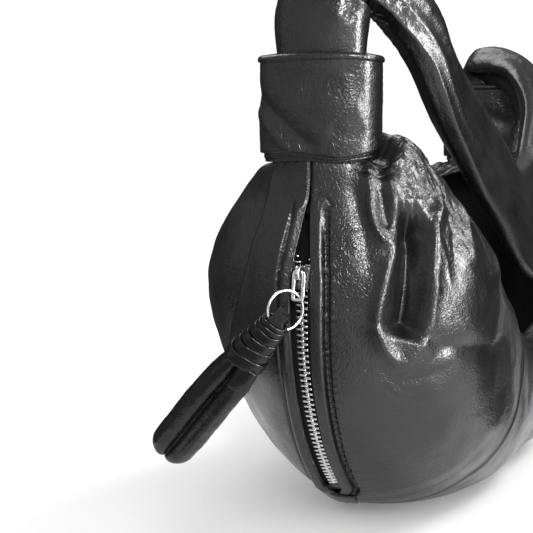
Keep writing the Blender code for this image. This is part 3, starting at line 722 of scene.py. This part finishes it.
def inner_layers():
    """Lining and leather facings inside the mouth."""
    us = np.linspace(1.75, 16.25, 160)[:, None]
    sheets = []
    for side in (-1, 1):
        ss = np.linspace(0.06, 0.62, 46)[None, :]
        u, s = np.broadcast_arrays(us, ss)
        base, normal = skin_with_normals(u, s, side)
        depth = 8.6 - 3.4 * smoothstep(s / 0.6)
        ripple = noise_field(base * np.array([1.0, 1.0, 0.5]), 13.0, 30.0 + side, 3)
        tucked = fold(base, POCKET_FLOOR, 12.0, 15.0, 2.0, 0.05)
        inside = base - normal * (depth + 0.9 * ripple + tucked)[..., None]
        sheets.append(inside[:, ::-1] if side < 0 else inside)
    add_grid(
        "lining_bag", np.concatenate(sheets, axis=1), LINING,
        thickness=LINING_SHEET, slot="lining", replaces=("lining",),
    )
    for side, word in SIDES:
        us = np.linspace(3.0, 15.0, 150)[:, None]
        u, s = np.broadcast_arrays(us, np.linspace(0.64, 0.985, 22)[None, :])
        base, normal = skin_with_normals(u, s, side)
        ripple = noise_field(base, 22.0, 60.0 + side, 3)
        sheet = base - normal * (4.7 + 0.3 * ripple)[..., None]
        add_grid(
            f"{word}_mouth_facing", sheet, LEATHER, thickness=FACING_SHEET, replaces=(f"{word}_facing",)
        )


# ---------------------------------------------------------------- cuffs


def cuff(word, sign, drop):
    """A wide band with a rolled rim, a soft dent and a turned lower edge, over a longer under-band."""
    count = 220
    levels = np.linspace(0.0, 1.0, 60)
    a, b = superellipse(1.0, 1.0, count, 2.7)
    half_x, half_y = CUFF_HALF_X, CUFF_HALF_Y
    tilt = 1.6 * b
    sag = smoothstep(0.5 - sign * a) * hump(half_y * b, -15.0, 13.0)
    low = CUFF_LOW - drop - tilt - 3.2 * sag
    high = CUFF_HIGH - drop + 0.8 * np.sin(np.arange(count) * 2 * np.pi / count * 2 + 0.6) - 0.8
    rows = []
    for grow, step in ((-3.0, 6.0), (-2.6, 3.0), (-2.2, 1.2), (-1.4, 0.1), (-0.5, -0.1)):
        z = low + step
        rows.append((1 + grow / half_y, 1 + grow / half_x, z, 0.0))
    for f in levels:
        z = low + 0.5 + (high - low - 3.5) * f
        rows.append((1.0, 1.0, z, f))
    for k in range(11):
        angle = -0.55 + k * (math.pi + 0.9) / 10
        out = 1.9 * math.cos(angle) - 1.0
        up = 1.9 * math.sin(angle)
        rows.append((1 + out / half_y, 1 + out / half_x, high - 2.1 + up, 1.0))
    for step in (5.0, 10.0, 16.0):
        rows.append((1 - 2.9 / half_y, 1 - 2.9 / half_x, high - step, 1.0))
    grid = []
    for scale_y, scale_x, z, f in rows:
        x = sign * CUFF_X + half_x * scale_x * a
        y = half_y * scale_y * b
        grid.append(np.stack([x, y, z * np.ones(count)], axis=-1))
    grid = np.array(grid)
    centre = np.array([sign * CUFF_X, 0.0, 0.0])
    out = unit((grid - centre) * np.array([1 / half_x**2, 1 / half_y**2, 0.0]))
    bump = np.zeros(grid.shape[:2])
    dents = [
        ([(-131, 27, 192), (-142, 22, 186), (-145, 12, 178), (-146, 2, 170), (-146, -6, 166)], 4.2, -1.5),
        ([(-131, 27, 184), (-141, 22, 179), (-145, 15, 172), (-146, 8, 166)], 3.2, 0.9),
        ([(-146, 20, 200), (-146, 5, 196), (-146, -12, 198), (-143, -24, 201)], 4.0, -0.6),
        ([(-146, -2, 190), (-146, -14, 184), (-143, -24, 186)], 6.0, 0.7),
        ([(-145, -8, 176), (-145, -18, 173), (-140, -25, 177)], 4.0, -0.6),
        ([(-118, 20, 198), (-117, 0, 190), (-117, -20, 182)], 5.0, -1.2),
    ]
    local = grid.copy()
    local[..., 0] = sign * grid[..., 0]
    local[..., 2] = grid[..., 2] + drop
    for line, width, height in dents:
        bump += fold(local, line, width, height, 1.6, 0.2)
    bump += 0.35 * noise_field(local, 17.0, 12.0 + sign, 2)
    bump += 0.07 * noise_field(local * np.array([1.0, 1.0, 1.6]), 4.5, 22.0 + sign, 3, ridged=True)
    weight = np.array([0.0] * 4 + [0.5] + [1.0] * len(levels) + [0.8] * 11 + [0.0] * 3)
    grid += out * (bump * weight[:, None])[..., None]
    add_grid(f"{word}_cuff_leather", grid, LEATHER_CUFF, "columns", replaces=(f"{word}_cuff",))
    lower = CUFF_LOW - drop - tilt - 1.4 * sag

    def band_ring(inset, z):
        x = sign * CUFF_X + (half_x - 1.0 - inset) * a
        return np.stack([x, (half_y - 1.0 - inset) * b, z], axis=-1)

    wave = 0.35 * np.sin(np.arange(count) * 2 * np.pi / count * 3 + 1.0)
    steps = (
        (2.8, 14.0), (2.8, 4.0), (2.6, 1.4), (1.9, 0.2), (1.2, 0.2), (0.7, 0.9), (0.7, 4.0), (0.9, 16.0),
        (1.2, 33.0),
    )
    band = [band_ring(inset, lower - 3.0 + step + wave) for inset, step in steps]
    add_grid(f"{word}_under_band", band, LEATHER_CUFF, "columns", replaces=(f"{word}_cuff_band",))
    edge = 0.75
    turns = [k * 2 * math.pi / 12 for k in range(12)]
    rim = [band_ring(1.9 - edge * math.cos(turn), lower - 3.1 + edge * math.sin(turn)) for turn in turns]
    add_grid(f"{word}_under_band_edge", rim, LEATHER_CUFF, "rows columns")


# ---------------------------------------------------------------- strap


def strap_bends():
    near = np.array([CUFF_X + 4.0, 0.0, STRAP_BEND_Z])
    far = np.array([-CUFF_X, 0.0, CUFF_HIGH - FAR_DROP + 13.0])
    return near, far


def strap():
    """The strap: one tube of soft leather with lengthwise folds, in two halves that meet in the middle."""
    near, far = strap_bends()
    near_foot = np.array([CUFF_X, 0.0, 184.0])
    far_foot = np.array([-CUFF_X, 0.0, 184.0 - FAR_DROP])
    route = np.array([
        near_foot,
        near_foot + (0.5, 0.0, 20.0),
        near + (-2.0, 0.5, -8.0),
        near + (2.5, -2.0, 3.5),
        near + (11.0, -12.5, 6.0),
        near + (19.5, -24.0, -1.0),
        near + (29.0, -33.0, -16.0),
        (-82.0, -41.0, 186.0),
        (-42.0, -50.0, 152.0),
        (0.0, -54.0, 124.0),
        (40.0, -52.0, 132.0),
        (78.0, -44.0, 160.0),
        far + (-29.0, -30.0, -17.0),
        far + (-15.0, -16.0, -6.5),
        far + (-4.0, -3.0, -6.5),
        far + (0.0, 0.0, -15.0),
        far_foot + (0.0, 0.0, 12.0),
        far_foot,
    ])
    facing = np.array([
        (0, 1, 0), (0, 1, 0), (0, 1, 0), (-0.1, 1, 0.25), (0.1, 0.75, 0.6), (0.2, 0.45, 0.9),
        (0.1, 0.35, 1), (0, 0.3, 1), (0, 0.28, 1), (0, 0.28, 1), (0, 0.28, 1), (0, 0.3, 1),
        (-0.1, 0.4, 1), (-0.1, 0.75, 0.6), (0, 1, 0.2), (0, 1, 0), (0, 1, 0), (0, 1, 0),
    ], float)
    wide = [
        18.5, 19.5, 20.5, 18.0, 14.5, 14.5, 16.5, 19.0, 24.0,
        27.0, 25.0, 20.0, 15.0, 13.5, 16.0, 19.0, 19.5, 18.5,
    ]
    thick = [
        9.0, 9.5, 11.0, 11.0, 10.5, 10.0, 9.5, 8.5, 7.5,
        7.0, 7.5, 8.5, 10.0, 10.0, 10.5, 10.5, 9.0, 8.5,
    ]
    steps, around = 330, 120
    t = np.linspace(0, len(route) - 1, steps)
    path = curve(route, t)
    across, through = path_frames(path, curve(facing, t))
    w = curve(wide, t)[:, 0]
    k = curve(thick, t)[:, 0]
    a, b = superellipse(1.0, 1.0, around, 2.25)
    ring = across[:, None] * (w[:, None] * a)[..., None] + through[:, None] * (k[:, None] * b)[..., None]
    points = path[:, None] + ring
    out = across[:, None] * (a / w[:, None])[..., None] + through[:, None] * (b / k[:, None])[..., None]
    out = unit(out)
    angle = np.arange(around)[None, :] * 2 * np.pi / around
    run = run_length(path)[:, None]
    free = smoothstep((t - 2.6) / 1.4)[:, None] * smoothstep((15.4 - t) / 1.4)[:, None]
    circle = np.stack(np.broadcast_arrays(np.cos(angle) * 1.5, np.sin(angle) * 1.1, run * 0.009), axis=-1)
    long_folds = noise_field(circle, 1.0, 40.0, 1, ridged=True)
    broad = noise_field(circle * np.array([0.55, 0.55, 1.3]), 1.0, 50.0, 2)
    cross_place = np.stack(np.broadcast_arrays(np.cos(angle) * 9, np.sin(angle) * 9, run), axis=-1)
    crumple = noise_field(cross_place, 6.0, 70.0, 3, ridged=True)
    at_bend = hump(t, 4.3, 1.5) + 0.2 * hump(t, 13.5, 1.5)
    rise = free * (1.7 * (long_folds - 0.4) + 1.6 * broad)
    rise += 0.6 * crumple * (0.1 + at_bend[:, None])
    puff = hump(t, 1.9, 0.7)[:, None] * np.clip(-b, 0, 1)[None, :]
    rise += 1.8 * puff
    hollow_line = near + np.array([(-12, -15, -13), (-13, -18, -6), (-9, -18, 0), (-2, -16, 4)], float)
    rise += fold(points, hollow_line, 2.6, -6.0, 2.0, 0.2)
    rise += fold(points, hollow_line + np.array([-1.5, 5.0, 0.5]), 2.4, 2.4, 1.6, 0.2)
    rise += fold(points, hollow_line + np.array([3.0, -5.0, -0.5]), 2.0, 1.6, 1.6, 0.2)
    inside_cuff = smoothstep((t - 0.9) / 0.8)[:, None] * smoothstep((16.1 - t) / 0.8)[:, None]
    points = points + out * (rise * inside_cuff)[..., None]
    middle = steps // 2 + 1
    near_bend = near + (-3.0, 2.0, -9.0), near + (24.0, -28.0, -6.0)
    far_bend = far + (0.0, 2.0, -10.0), far + (-26.0, -28.0, -6.0)
    halves = (
        ("near", points[: middle + 1], near_bend, ("strap_near_end", "strap_span")),
        ("far", points[middle:], far_bend, ("strap_far_end",)),
    )
    for word, part, (start, end), nodes in halves:
        ob = add_grid(f"strap_{word}_half", part, LEATHER_STRAP, "columns", body=None, replaces=nodes)
        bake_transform(ob)


# ---------------------------------------------------------------- zip


def on_arc(angle, y=0.0, rise=0.0):
    a = np.radians(angle)
    r = ZIP_R + rise
    shape = np.broadcast(a, y, rise)
    x = ZIP_X - r * np.cos(a) + np.zeros(shape.shape)
    z = ZIP_Z + r * np.sin(a) + np.zeros(shape.shape)
    return np.stack([x, y + np.zeros(shape.shape), z], axis=-1)


def top_stops():
    """A small pinched stop above each row of teeth, tucked under the lips."""
    for side, word in SIDES:
        rings = []
        for angle in np.linspace(ZIP_TOP - 0.4, ZIP_TOP - 1.5, 8):
            a, b = superellipse(0.55, 0.9, 16, 3.0)
            across = side * (3.3 + float(spread_of_rows(angle)) + a)
            rings.append(on_arc(angle, across, b))
        add_grid(
            f"top_stop_{word}", rings, SATIN, "columns caps",
            slot="zip_metal", replaces=(f"zip_top_stop_{word}",),
        )


def spread_of_rows(angle):
    """How far the two rows stand apart above the slider."""
    closing = 1 - 0.55 * smoothstep((angle - ZIP_TOP + 6.0) / 5.0)
    return 4.4 * closing * smoothstep((angle - SLIDER_ANGLE - 0.5) / 6.0)


def tooth(angle, side, apart):
    """One tooth: legs clamped on the tape's bead, a waist and a rounded head with a step."""
    profile = [
        # across from the middle, half-length along the zip, half-height
        (2.7, 0.3, 0.6), (2.6, 0.5, 1.0), (2.3, 0.56, 1.14), (1.6, 0.54, 1.16), (1.0, 0.5, 1.1),
        (0.5, 0.52, 1.08), (0.1, 0.56, 1.06), (-0.35, 0.56, 1.0), (-0.7, 0.46, 0.86), (-0.88, 0.2, 0.45),
    ]
    sides = 12
    points = []
    for y, half_length, half_height in profile:
        a, b = superellipse(half_length, half_height, sides, 3.2)
        across = side * (y + apart)
        where = on_arc(angle + np.degrees(a / ZIP_R), across, b)
        points += where.tolist()
    faces = ring_faces(len(profile), sides)
    if side > 0:
        faces = [f[::-1] for f in faces]
    return points, faces


def zip_rows():
    step = math.degrees(TOOTH_PITCH / ZIP_R)
    for side, word in SIDES:
        shift = step / 2 if side > 0 else 0.0
        teeth = []
        angle = ZIP_TOP - 1.5 - shift
        while angle > ZIP_BOTTOM + 0.6:
            teeth.append(tooth(angle, side, float(spread_of_rows(angle))))
            angle -= step
        mesh = outward_faces(merged(f"zip_teeth_row_{word}", teeth))
        add_piece(mesh, NICKEL, slot="zip_metal", replaces=(f"zip_teeth_{word}",))
        angles = np.linspace(ZIP_TOP + 4.4, ZIP_BOTTOM - 1.0, 270)
        apart = spread_of_rows(angles)
        path = on_arc(angles, side * (2.75 + apart), -0.1)
        ribs = 0.72 + 0.06 * np.sin(np.radians(angles) * ZIP_R * 2 * np.pi / 0.9)
        rings = tube_points(path, ribs, 10)
        add_grid(f"zip_bead_{word}", rings, TAPE, "columns", slot="zip_tape")
        across = np.linspace(0.0, 1.0, 10)[None, :]
        inner = (3.0 + apart) * (1 - smoothstep((angles - ZIP_TOP + 2.5) / 3.0)) - side * 0.4
        inner = inner[:, None]
        y = inner + (11.4 - inner) * across
        weave = 0.05 * np.sin(np.radians(angles)[:, None] * ZIP_R * 5.0 + y * 7.0)
        slope = (2.8 if side > 0 else 0.4) * smoothstep((y - 3.5) / 8.0)
        tape = on_arc(angles[:, None], side * y, -0.35 + weave - slope)
        add_grid(
            f"zip_tape_cloth_{word}", tape, TAPE,
            thickness=TAPE_SHEET, slot="zip_tape", replaces=(f"zip_tape_{word}",),
        )


def slider_point(along, y, out):
    a = math.radians(SLIDER_ANGLE)
    normal = np.array([-math.cos(a), 0.0, math.sin(a)])
    up = np.array([math.sin(a), 0.0, math.cos(a)])
    along, y, out = np.broadcast_arrays(along, y, out)
    centre = on_arc(SLIDER_ANGLE, 0.0, 0.0)
    side = np.array([0.0, 1.0, 0.0])
    return centre + along[..., None] * up + out[..., None] * normal + y[..., None] * side


def plate_rings(outline, low, high, crown=0.0):
    """A plate of the slider with softly rounded edges, as rings from its under side to its top."""
    outline = np.array(outline)
    rings = []
    for out, shrink in (
        (low, 0.55), (low, 0.25), (low + 0.15, 0.05), (low + 0.45, 0.0), (high - 0.45, 0.0),
        (high - 0.15, 0.07), (high, 0.3), (high + crown * 0.6, 1.2), (high + crown, 2.2),
    ):
        size = np.maximum(1 - shrink / np.maximum(np.linalg.norm(outline, axis=1), 0.1), 0.05)
        pts = outline * size[:, None]
        rings.append(slider_point(pts[:, 0], pts[:, 1], np.full(len(pts), out)))
    return np.array(rings)


def zip_slider():
    half = [
        (5.3, 0.0), (5.25, 1.4), (5.0, 2.6), (4.4, 3.5), (3.2, 3.9), (1.2, 3.85), (-1.0, 3.5),
        (-3.2, 3.25), (-4.6, 3.0), (-5.2, 2.2), (-5.35, 1.0), (-5.35, 0.0),
    ]
    outline = evenly(half, 45)
    outline = np.vstack([outline, outline[-2:0:-1] * (1, -1)])
    plates = (("top", 1.75, 2.9, 0.25, ("slider_body",)), ("bottom", -3.0, -1.8, 0.0, ()))
    # The plates, neck and flanges take the darker nickel, which paints shade on the slider's body.
    for name, low, high, crown, nodes in plates:
        rings = plate_rings(outline, low, high, crown)
        add_grid(f"slider_{name}_plate", rings, SHADED_NICKEL, "columns caps", **ON_SLIDER, replaces=nodes)
    a, b = superellipse(1.6, 0.55, 24, 2.2)
    neck = np.array([slider_point(3.1 + a, b, np.full(24, out)) for out in np.linspace(-2.2, 2.2, 5)])
    add_grid("slider_neck", neck, SHADED_NICKEL, "columns", **ON_SLIDER)
    for side in (-1, 1):
        flange = []
        for along in np.linspace(-4.6, 2.0, 24):
            reach = 3.3 + 0.35 * smoothstep((along + 3.0) / 5.0)
            ring_y, ring_out = superellipse(0.35, 0.75, 12, 3.0)
            flange.append(slider_point(np.full(12, along), side * (reach + ring_y), 1.35 + ring_out))
        add_grid(
            f"slider_flange_{'back' if side > 0 else 'front'}", flange, SHADED_NICKEL, "columns caps",
            **ON_SLIDER,
        )
    route = [
        (4.6, 2.6), (4.75, 4.4), (4.5, 5.9), (3.4, 7.1), (1.9, 7.4), (0.3, 6.9), (-0.7, 5.7), (-0.85, 4.2),
        (-0.8, 2.6),
    ]
    path = evenly(route, 70)
    along_path = unit(np.gradient(path, axis=0))
    cross = np.stack([-along_path[:, 1], along_path[:, 0]], axis=1)
    a, b = superellipse(0.5, 1.15, 20, 3.0)
    waist = 1 + 0.25 * np.cos(np.linspace(-np.pi, np.pi, 70))
    bridge = []
    for place, side_way, w in zip(path, cross, waist):
        flat = place + side_way * a[:, None]
        bridge.append(slider_point(flat[:, 0], b / w, flat[:, 1]))
    add_grid("slider_bail", bridge, NICKEL, "columns caps", **ON_SLIDER, replaces=("slider_bridge",))


# Where the tab hangs: along the zip from the slider's middle, and out from the teeth.
TAB_ALONG, TAB_OUT = 2.2, 5.1


def tab_outline(half_long, half_wide, corner, count=80):
    a, b = superellipse(1.0, 1.0, count, 2 + corner)
    return np.stack([a * half_long, b * half_wide], axis=1)


def zip_pull_tab():
    """A flat frame of metal with a long slot; its upper bar sits under the bail."""
    middle = TAB_ALONG - 5.75
    outer = tab_outline(6.5, 2.95, 4.5)
    inner = tab_outline(4.95, 1.45, 4.0)
    rings = []
    for shrink, out, which in (
        (0.0, -0.25, 0), (0.0, 0.25, 0), (0.12, 0.45, 0), (0.35, 0.55, 0), (-0.35, 0.55, 1),
        (-0.12, 0.45, 1), (0.0, 0.25, 1), (0.0, -0.25, 1), (-0.12, -0.45, 1), (-0.35, -0.55, 1),
        (0.35, -0.55, 0), (0.12, -0.45, 0),
    ):
        base = inner if which else outer
        size = 1 - shrink / np.linalg.norm(base, axis=1)
        pts = base * size[:, None]
        rings.append(slider_point(middle + pts[:, 0], pts[:, 1], np.full(len(pts), TAB_OUT + out)))
    add_grid(
        "zip_pull_frame", rings, NICKEL, "rows columns",
        body="pull_tab", slot="zip_metal", replaces=("pull_tab",),
    )


RING_R, RING_WIRE = 8.2, 0.6
RING_ALONG = np.array([-0.78, 0.626, 0.0])
RING_UP = np.array([0.0, 0.0, 1.0])


def ring_centre():
    crossing = slider_point(TAB_ALONG - 9.4, 0.0, TAB_OUT)
    return crossing + RING_R * math.sqrt(0.5) * (RING_ALONG - RING_UP)


def ring_point(angle):
    a = np.radians(angle)
    direction = np.cos(a)[..., None] * RING_ALONG + np.sin(a)[..., None] * RING_UP
    return ring_centre() + RING_R * direction


def zip_ring():
    angle = np.arange(120) * 3.0
    centre = ring_point(angle)
    radial = (centre - ring_centre()) / RING_R
    flat = np.cross(RING_ALONG, RING_UP)
    turn = np.arange(14) * 2 * np.pi / 14
    ring = np.cos(turn)[None, :, None] * radial[:, None] + np.sin(turn)[None, :, None] * flat
    points = centre[:, None] + RING_WIRE * ring
    add_grid(
        "puller_ring_wire", points, NICKEL, "rows columns",
        body="puller", slot="zip_metal", replaces=("pull_ring",),
    )


# ---------------------------------------------------------------- leather puller

PULLER_TIP = np.array([-142.0, 71.0, 27.5])
PULLER_FACE = np.array([-0.905, -0.403, 0.139])


def puller_axes():
    start = ring_point(np.array(-45.0))
    along = unit(PULLER_TIP - start)
    across = unit(np.cross(along, PULLER_FACE))
    return start, along, across, np.cross(across, along)


def puller_points(distance, a, b):
    """Points by distance from the ring, across the puller and towards its face."""
    start, along, across, through = puller_axes()
    distance, a, b = np.broadcast_arrays(distance, a, b)
    return start + distance[..., None] * along + a[..., None] * across + b[..., None] * through


def puller_tassel():
    """Two soft tubes side by side, one strip folded over at the tip, with a dark slit between them."""
    d = np.linspace(19.0, 93.6, 120)
    count = 96
    angle = np.arange(count) * 2 * np.pi / count
    rows = []
    for distance in d:
        f = (distance - 30.0) / 63.6
        tip = math.sqrt(max(0.0, 1 - max(0.0, (f - 0.86) / 0.14) ** 2.2))
        half = np.interp(distance, [19, 27, 36, 58, 80, 94], [6.2, 8.6, 9.9, 10.4, 10.3, 9.6])
        thick = np.interp(distance, [19, 27, 36, 58, 80, 94], [4.2, 5.0, 5.4, 5.6, 5.4, 4.8])
        half *= 0.42 + 0.58 * tip
        thick *= 0.35 + 0.65 * tip
        c, s = np.cos(angle), np.sin(angle)
        a = half * signed_power(c, 0.92)
        lobe = 1 - (np.abs(np.abs(a) / half - 0.5) / 0.5) ** 2.2
        slit = np.clip(lobe, 0.0, 1.0) ** 0.5
        depth = np.where(s > 0, slit, 0.55 + 0.45 * slit)
        b = thick * depth * signed_power(s, 0.45)
        rows.append(puller_points(np.full(count, distance), a + 0.15 * np.sin(distance / 7.0), b))
    grid = np.array(rows)
    out = grid_normals(grid, grid - grid.mean(axis=1, keepdims=True))
    creases = noise_field(grid, 9.0, 80.0, 3, ridged=True)
    ridge = fold(grid, puller_points(np.array([34.0, 55, 75, 88]), -6.2, 5.2), 1.6, 0.9, 1.5, 0.2)
    valley = fold(grid, puller_points(np.array([34.0, 55, 75, 88]), -3.6, 5.2), 1.4, -0.7, 1.5, 0.2)
    grid += out * (0.12 * creases + ridge + valley)[..., None]
    add_grid(
        "puller_tassel", grid, LEATHER_PULLER, "columns caps", **ON_PULLER, replaces=("puller_loop",)
    )
    core = [
        (-2.6, 3.6, 1.6), (0.0, 4.0, 2.2), (6.0, 4.6, 2.8), (14.0, 5.6, 3.6), (24.0, 6.6, 4.4),
    ]
    rings = []
    for distance, wide, thick in core:
        a, b = superellipse(wide, thick, 40, 2.6)
        rings.append(puller_points(np.full(40, distance), a, b))
    add_grid("puller_core", rings, LEATHER_PULLER, "columns caps", **ON_PULLER)


def puller_bands():
    """Flat lace wound round the core: each turn a band with rounded edges, a little aslant."""
    bands = [(-1.6, 1.9), (1.0, 2.3), (4.9, 4.6), (9.9, 4.8), (14.9, 4.9), (20.6, 5.9)]
    count = 90
    a, b = superellipse(1.0, 1.0, count, 2.5)
    for number, (centre, width) in enumerate(bands):
        share = (centre + 1.6) / 25.0
        wide = 4.7 + 3.7 * share
        thick = 3.4 + 2.5 * share
        rows = []
        lean = 0.13 + 0.03 * math.sin(number * 2.1)
        for k in range(20):
            angle = k * 2 * math.pi / 20
            along = width / 2 * signed_power(math.cos(angle), 0.45)
            proud = 0.62 * signed_power(math.sin(angle), 0.55)
            step = 0.28 * (along / width)
            w = wide + 0.55 + proud + step
            t = thick + 0.55 + proud + step
            skew = lean * a * wide + 0.25 * np.sin(3 * np.arctan2(b, a) + number)
            rows.append(puller_points(centre + along + skew, w * a, t * b))
        grid = np.array(rows)
        rough = noise_field(grid, 5.0, 90.0 + number, 3)
        middle = puller_points(centre, 0.0, 0.0)
        out = unit(grid - middle)
        grid += out * (0.16 * rough)[..., None]
        name = f"lace_turn_{number + 1}"
        nodes = ("puller_wrap",) if number == 0 else ()
        add_grid(name, grid, LEATHER_PULLER, "rows columns", **ON_PULLER, replaces=nodes)


def lace_tail():
    """The last of the lace, tucked out under the lowest turn and cut off slantwise over one tube."""
    rows = []
    long_steps, around = 24, 20
    a, b = superellipse(1.0, 0.55, around, 3.0)
    for f in np.linspace(0, 1, long_steps):
        distance = 21.5 + 12.5 * f
        centre = -3.9 - 1.6 * f
        wide = 4.1 + 0.5 * f
        rise = 6.0 + 0.5 * math.sin(f * 2.6)
        x = centre + wide * a
        drop = 0.075 * (x + 5.0) ** 2
        slant = (x - centre) * 0.38 * f
        rows.append(puller_points(distance + slant, x, rise - drop + b))
    grid = np.array(rows)
    add_grid(
        "lace_tail", grid, LEATHER_PULLER, "columns caps", **ON_PULLER, replaces=("puller_lace_end",)
    )


def strip_end():
    """The strip's raw end: it stands up rough inside the ring, above the first turn of the lace."""
    a, b = superellipse(1.0, 1.0, 60, 3.2)
    rows = []
    for f in np.linspace(0, 1, 40):
        across, thick = (3.4 - 0.9 * f) * a, (1.5 - 0.2 * f) * b
        jag = np.array([noise.noise(Vector((v * 1.3, w * 1.3, 2.0))) for v, w in zip(across, thick)])
        end = 0.5 - 11.0 * f + 2.4 * jag * f**3
        rows.append(puller_points(end, across - 0.4 + 0.5 * f, 1.6 + 0.5 * f + thick))
    grid = np.array(rows)
    grid += 0.5 * np.stack([noise_field(grid, 1.6, 50.0 + k, 3) for k in range(3)], axis=-1)
    add_grid("strip_raw_end", grid, RAW_EDGE, "columns caps", **ON_PULLER, replaces=("puller_hitch",))


def zip_end_tab():
    """A small turned-over tab of leather that closes the lower end of the slot."""
    us = np.linspace(6.17, 6.7, 26)[:, None]
    sheets = []
    for side, reach in ((-1, 0.028), (1, 0.13)):
        base, normal = skin_with_normals(us, np.linspace(0.0, reach, 18)[None, :], side)
        bow = 0.9 + 0.25 * np.sin(np.linspace(0, np.pi, 26))[:, None]
        sheet = base + normal * (bow + 0.12 * noise_field(base, 3.0, 4.0, 2))[..., None]
        sheet[..., 2] = np.maximum(sheet[..., 2], 0.3)
        sheets.append(sheet[:, :0:-1] if side < 0 else sheet)
    add_grid(
        "zip_end_tab", np.concatenate(sheets, axis=1), LEATHER,
        thickness=TAB_SHEET, offset=-1.0, replaces=("seam_tab",),
    )


# ---------------------------------------------------------------- kept CAD nodes


def finish_cad_nodes():
    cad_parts["zip_bottom_stop"].material_slots[0].material = SATIN
    for name in ("snap_socket", "snap_stud", "snap_socket_washer", "snap_stud_washer"):
        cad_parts[name].material_slots[0].material = SATIN


# ---------------------------------------------------------------- studio


FLOOR_SIZE, FLOOR_GAP = 16.0, 0.0002
BAG_MIDDLE, BAG_FRONT = (-0.12, 0.0, 0.12), (-0.12, -0.03, 0.12)


def aim(ob, place, target):
    """Put a light or a board in its place, turned to a target."""
    ob.location = place
    ob.rotation_euler = (Vector(target) - Vector(place)).to_track_quat("-Z", "Y").to_euler()


def rectangle(name, wide, high):
    x, y = wide / 2, high / 2
    mesh = bpy.data.meshes.new(name)
    mesh.from_pydata([(-x, -y, 0), (x, -y, 0), (x, y, 0), (-x, y, 0)], [], [(0, 1, 2, 3)])
    return linked(name, mesh)


def area_light(name, place, target, size, power, size_y=None, shine_only=False):
    light = bpy.data.lights.new(name, "AREA")
    light.energy = power
    light.size = size
    if size_y:
        light.shape = "RECTANGLE"
        light.size_y = size_y
    ob = linked(name, light)
    aim(ob, place, target)
    if shine_only:
        ob.visible_diffuse = False


def dark_board(name, place, target, wide, high, shade=0.02):
    """A dark board beside the bag, which keeps the side that faces it dark."""
    ob = rectangle(name, wide, high)
    aim(ob, place, target)
    dark = Shader(name)
    dark.put("Base Color", (shade, shade, shade, 1))
    dark.put("Roughness", 0.9)
    ob.data.materials.append(dark.material)
    ob.visible_camera = False
    ob.visible_shadow = False
    ob.visible_diffuse = False


def studio():
    floor = rectangle("studio_floor", FLOOR_SIZE, FLOOR_SIZE)
    floor.location.z = -FLOOR_GAP
    pale = Shader("pale_floor")
    pale.put("Base Color", (0.93, 0.93, 0.93, 1))
    pale.put("Roughness", 0.9)
    pale.put("Emission Color", (1, 1, 1, 1))
    pale.put("Emission Strength", 0.16)
    floor.data.materials.append(pale.material)
    world = bpy.data.worlds.new("studio")
    world.use_nodes = True
    background = world.node_tree.nodes["Background"]
    background.inputs["Color"].default_value = (1, 1, 1, 1)
    nodes, links = world.node_tree.nodes, world.node_tree.links
    path = nodes.new("ShaderNodeLightPath")
    total = None
    for kind, strength in (("Is Camera Ray", 1.1), ("Is Diffuse Ray", 0.96), ("Is Glossy Ray", 0.42)):
        part = nodes.new("ShaderNodeMath")
        part.operation = "MULTIPLY_ADD"
        links.new(path.outputs[kind], part.inputs[0])
        part.inputs[1].default_value = strength
        part.inputs[2].default_value = 0.0
        if total:
            links.new(total, part.inputs[2])
        total = part.outputs[0]
    links.new(total, background.inputs["Strength"])
    bpy.context.scene.world = world
    bpy.context.scene.view_settings.view_transform = "Standard"
    area_light("key_light", (0.45, -0.75, 1.15), (-0.1, -0.02, 0.1), 0.5, 10)
    area_light("front_shine", (-1.15, -0.6, 0.8), BAG_FRONT, 0.3, 18, shine_only=True)
    area_light("side_shine", (-0.42, -1.1, 0.34), BAG_FRONT, 0.3, 26, 0.8, shine_only=True)
    area_light("bulge_shine", (0.1, -1.08, 0.56), (-0.12, -0.06, 0.11), 0.25, 5, shine_only=True)
    area_light("edge_shine", (-0.18, 1.12, 0.3), (-0.14, 0.02, 0.13), 0.07, 0.5, 0.8, shine_only=True)
    area_light("back_shine", (0.35, 0.7, 0.9), (-0.05, 0.0, 0.1), 0.6, 4, shine_only=True)
    dark_board("left_board", (-0.9, 0.75, 0.3), BAG_MIDDLE, 1.3, 1.4, 0.42)
    dark_board("back_board", (0.25, 0.8, 0.2), BAG_MIDDLE, 1.7, 0.9)
    dark_board("right_board", (0.75, -0.55, 0.2), BAG_MIDDLE, 1.8, 0.8)
    dark_board("left_card", (0.25, 0.7, 0.004), (0.25, 0.7, 1.0), 1.5, 1.1)
    dark_board("near_card", (-0.5, 0.4, 0.004), (-0.5, 0.4, 1.0), 0.6, 0.8, 0.16)
    dark_board("right_card", (0.54, -0.69, 0.004), (0.54, -0.69, 1.0), 1.12, 1.2)


def camera():
    data = bpy.data.cameras.new("camera")
    data.lens = 100.5
    data.sensor_width = 36.0
    data.clip_start = 0.02
    ob = linked("camera", data)
    turn = Matrix.Rotation(math.radians(-66.0), 3, "Z") @ Matrix.Rotation(math.radians(90.0 - 8.0), 3, "X")
    ob.matrix_world = Matrix.Translation((-0.7136, -0.2345, 0.2045)) @ turn.to_4x4()
    bpy.context.scene.camera = ob


camera()
studio()
body()
stitches()
inner_layers()
cuff("near", 1, 0.0)
cuff("far", -1, FAR_DROP)
strap()
zip_rows()
top_stops()
zip_slider()
zip_pull_tab()
zip_ring()
puller_tassel()
puller_bands()
lace_tail()
strip_end()
zip_end_tab()
finish_cad_nodes()
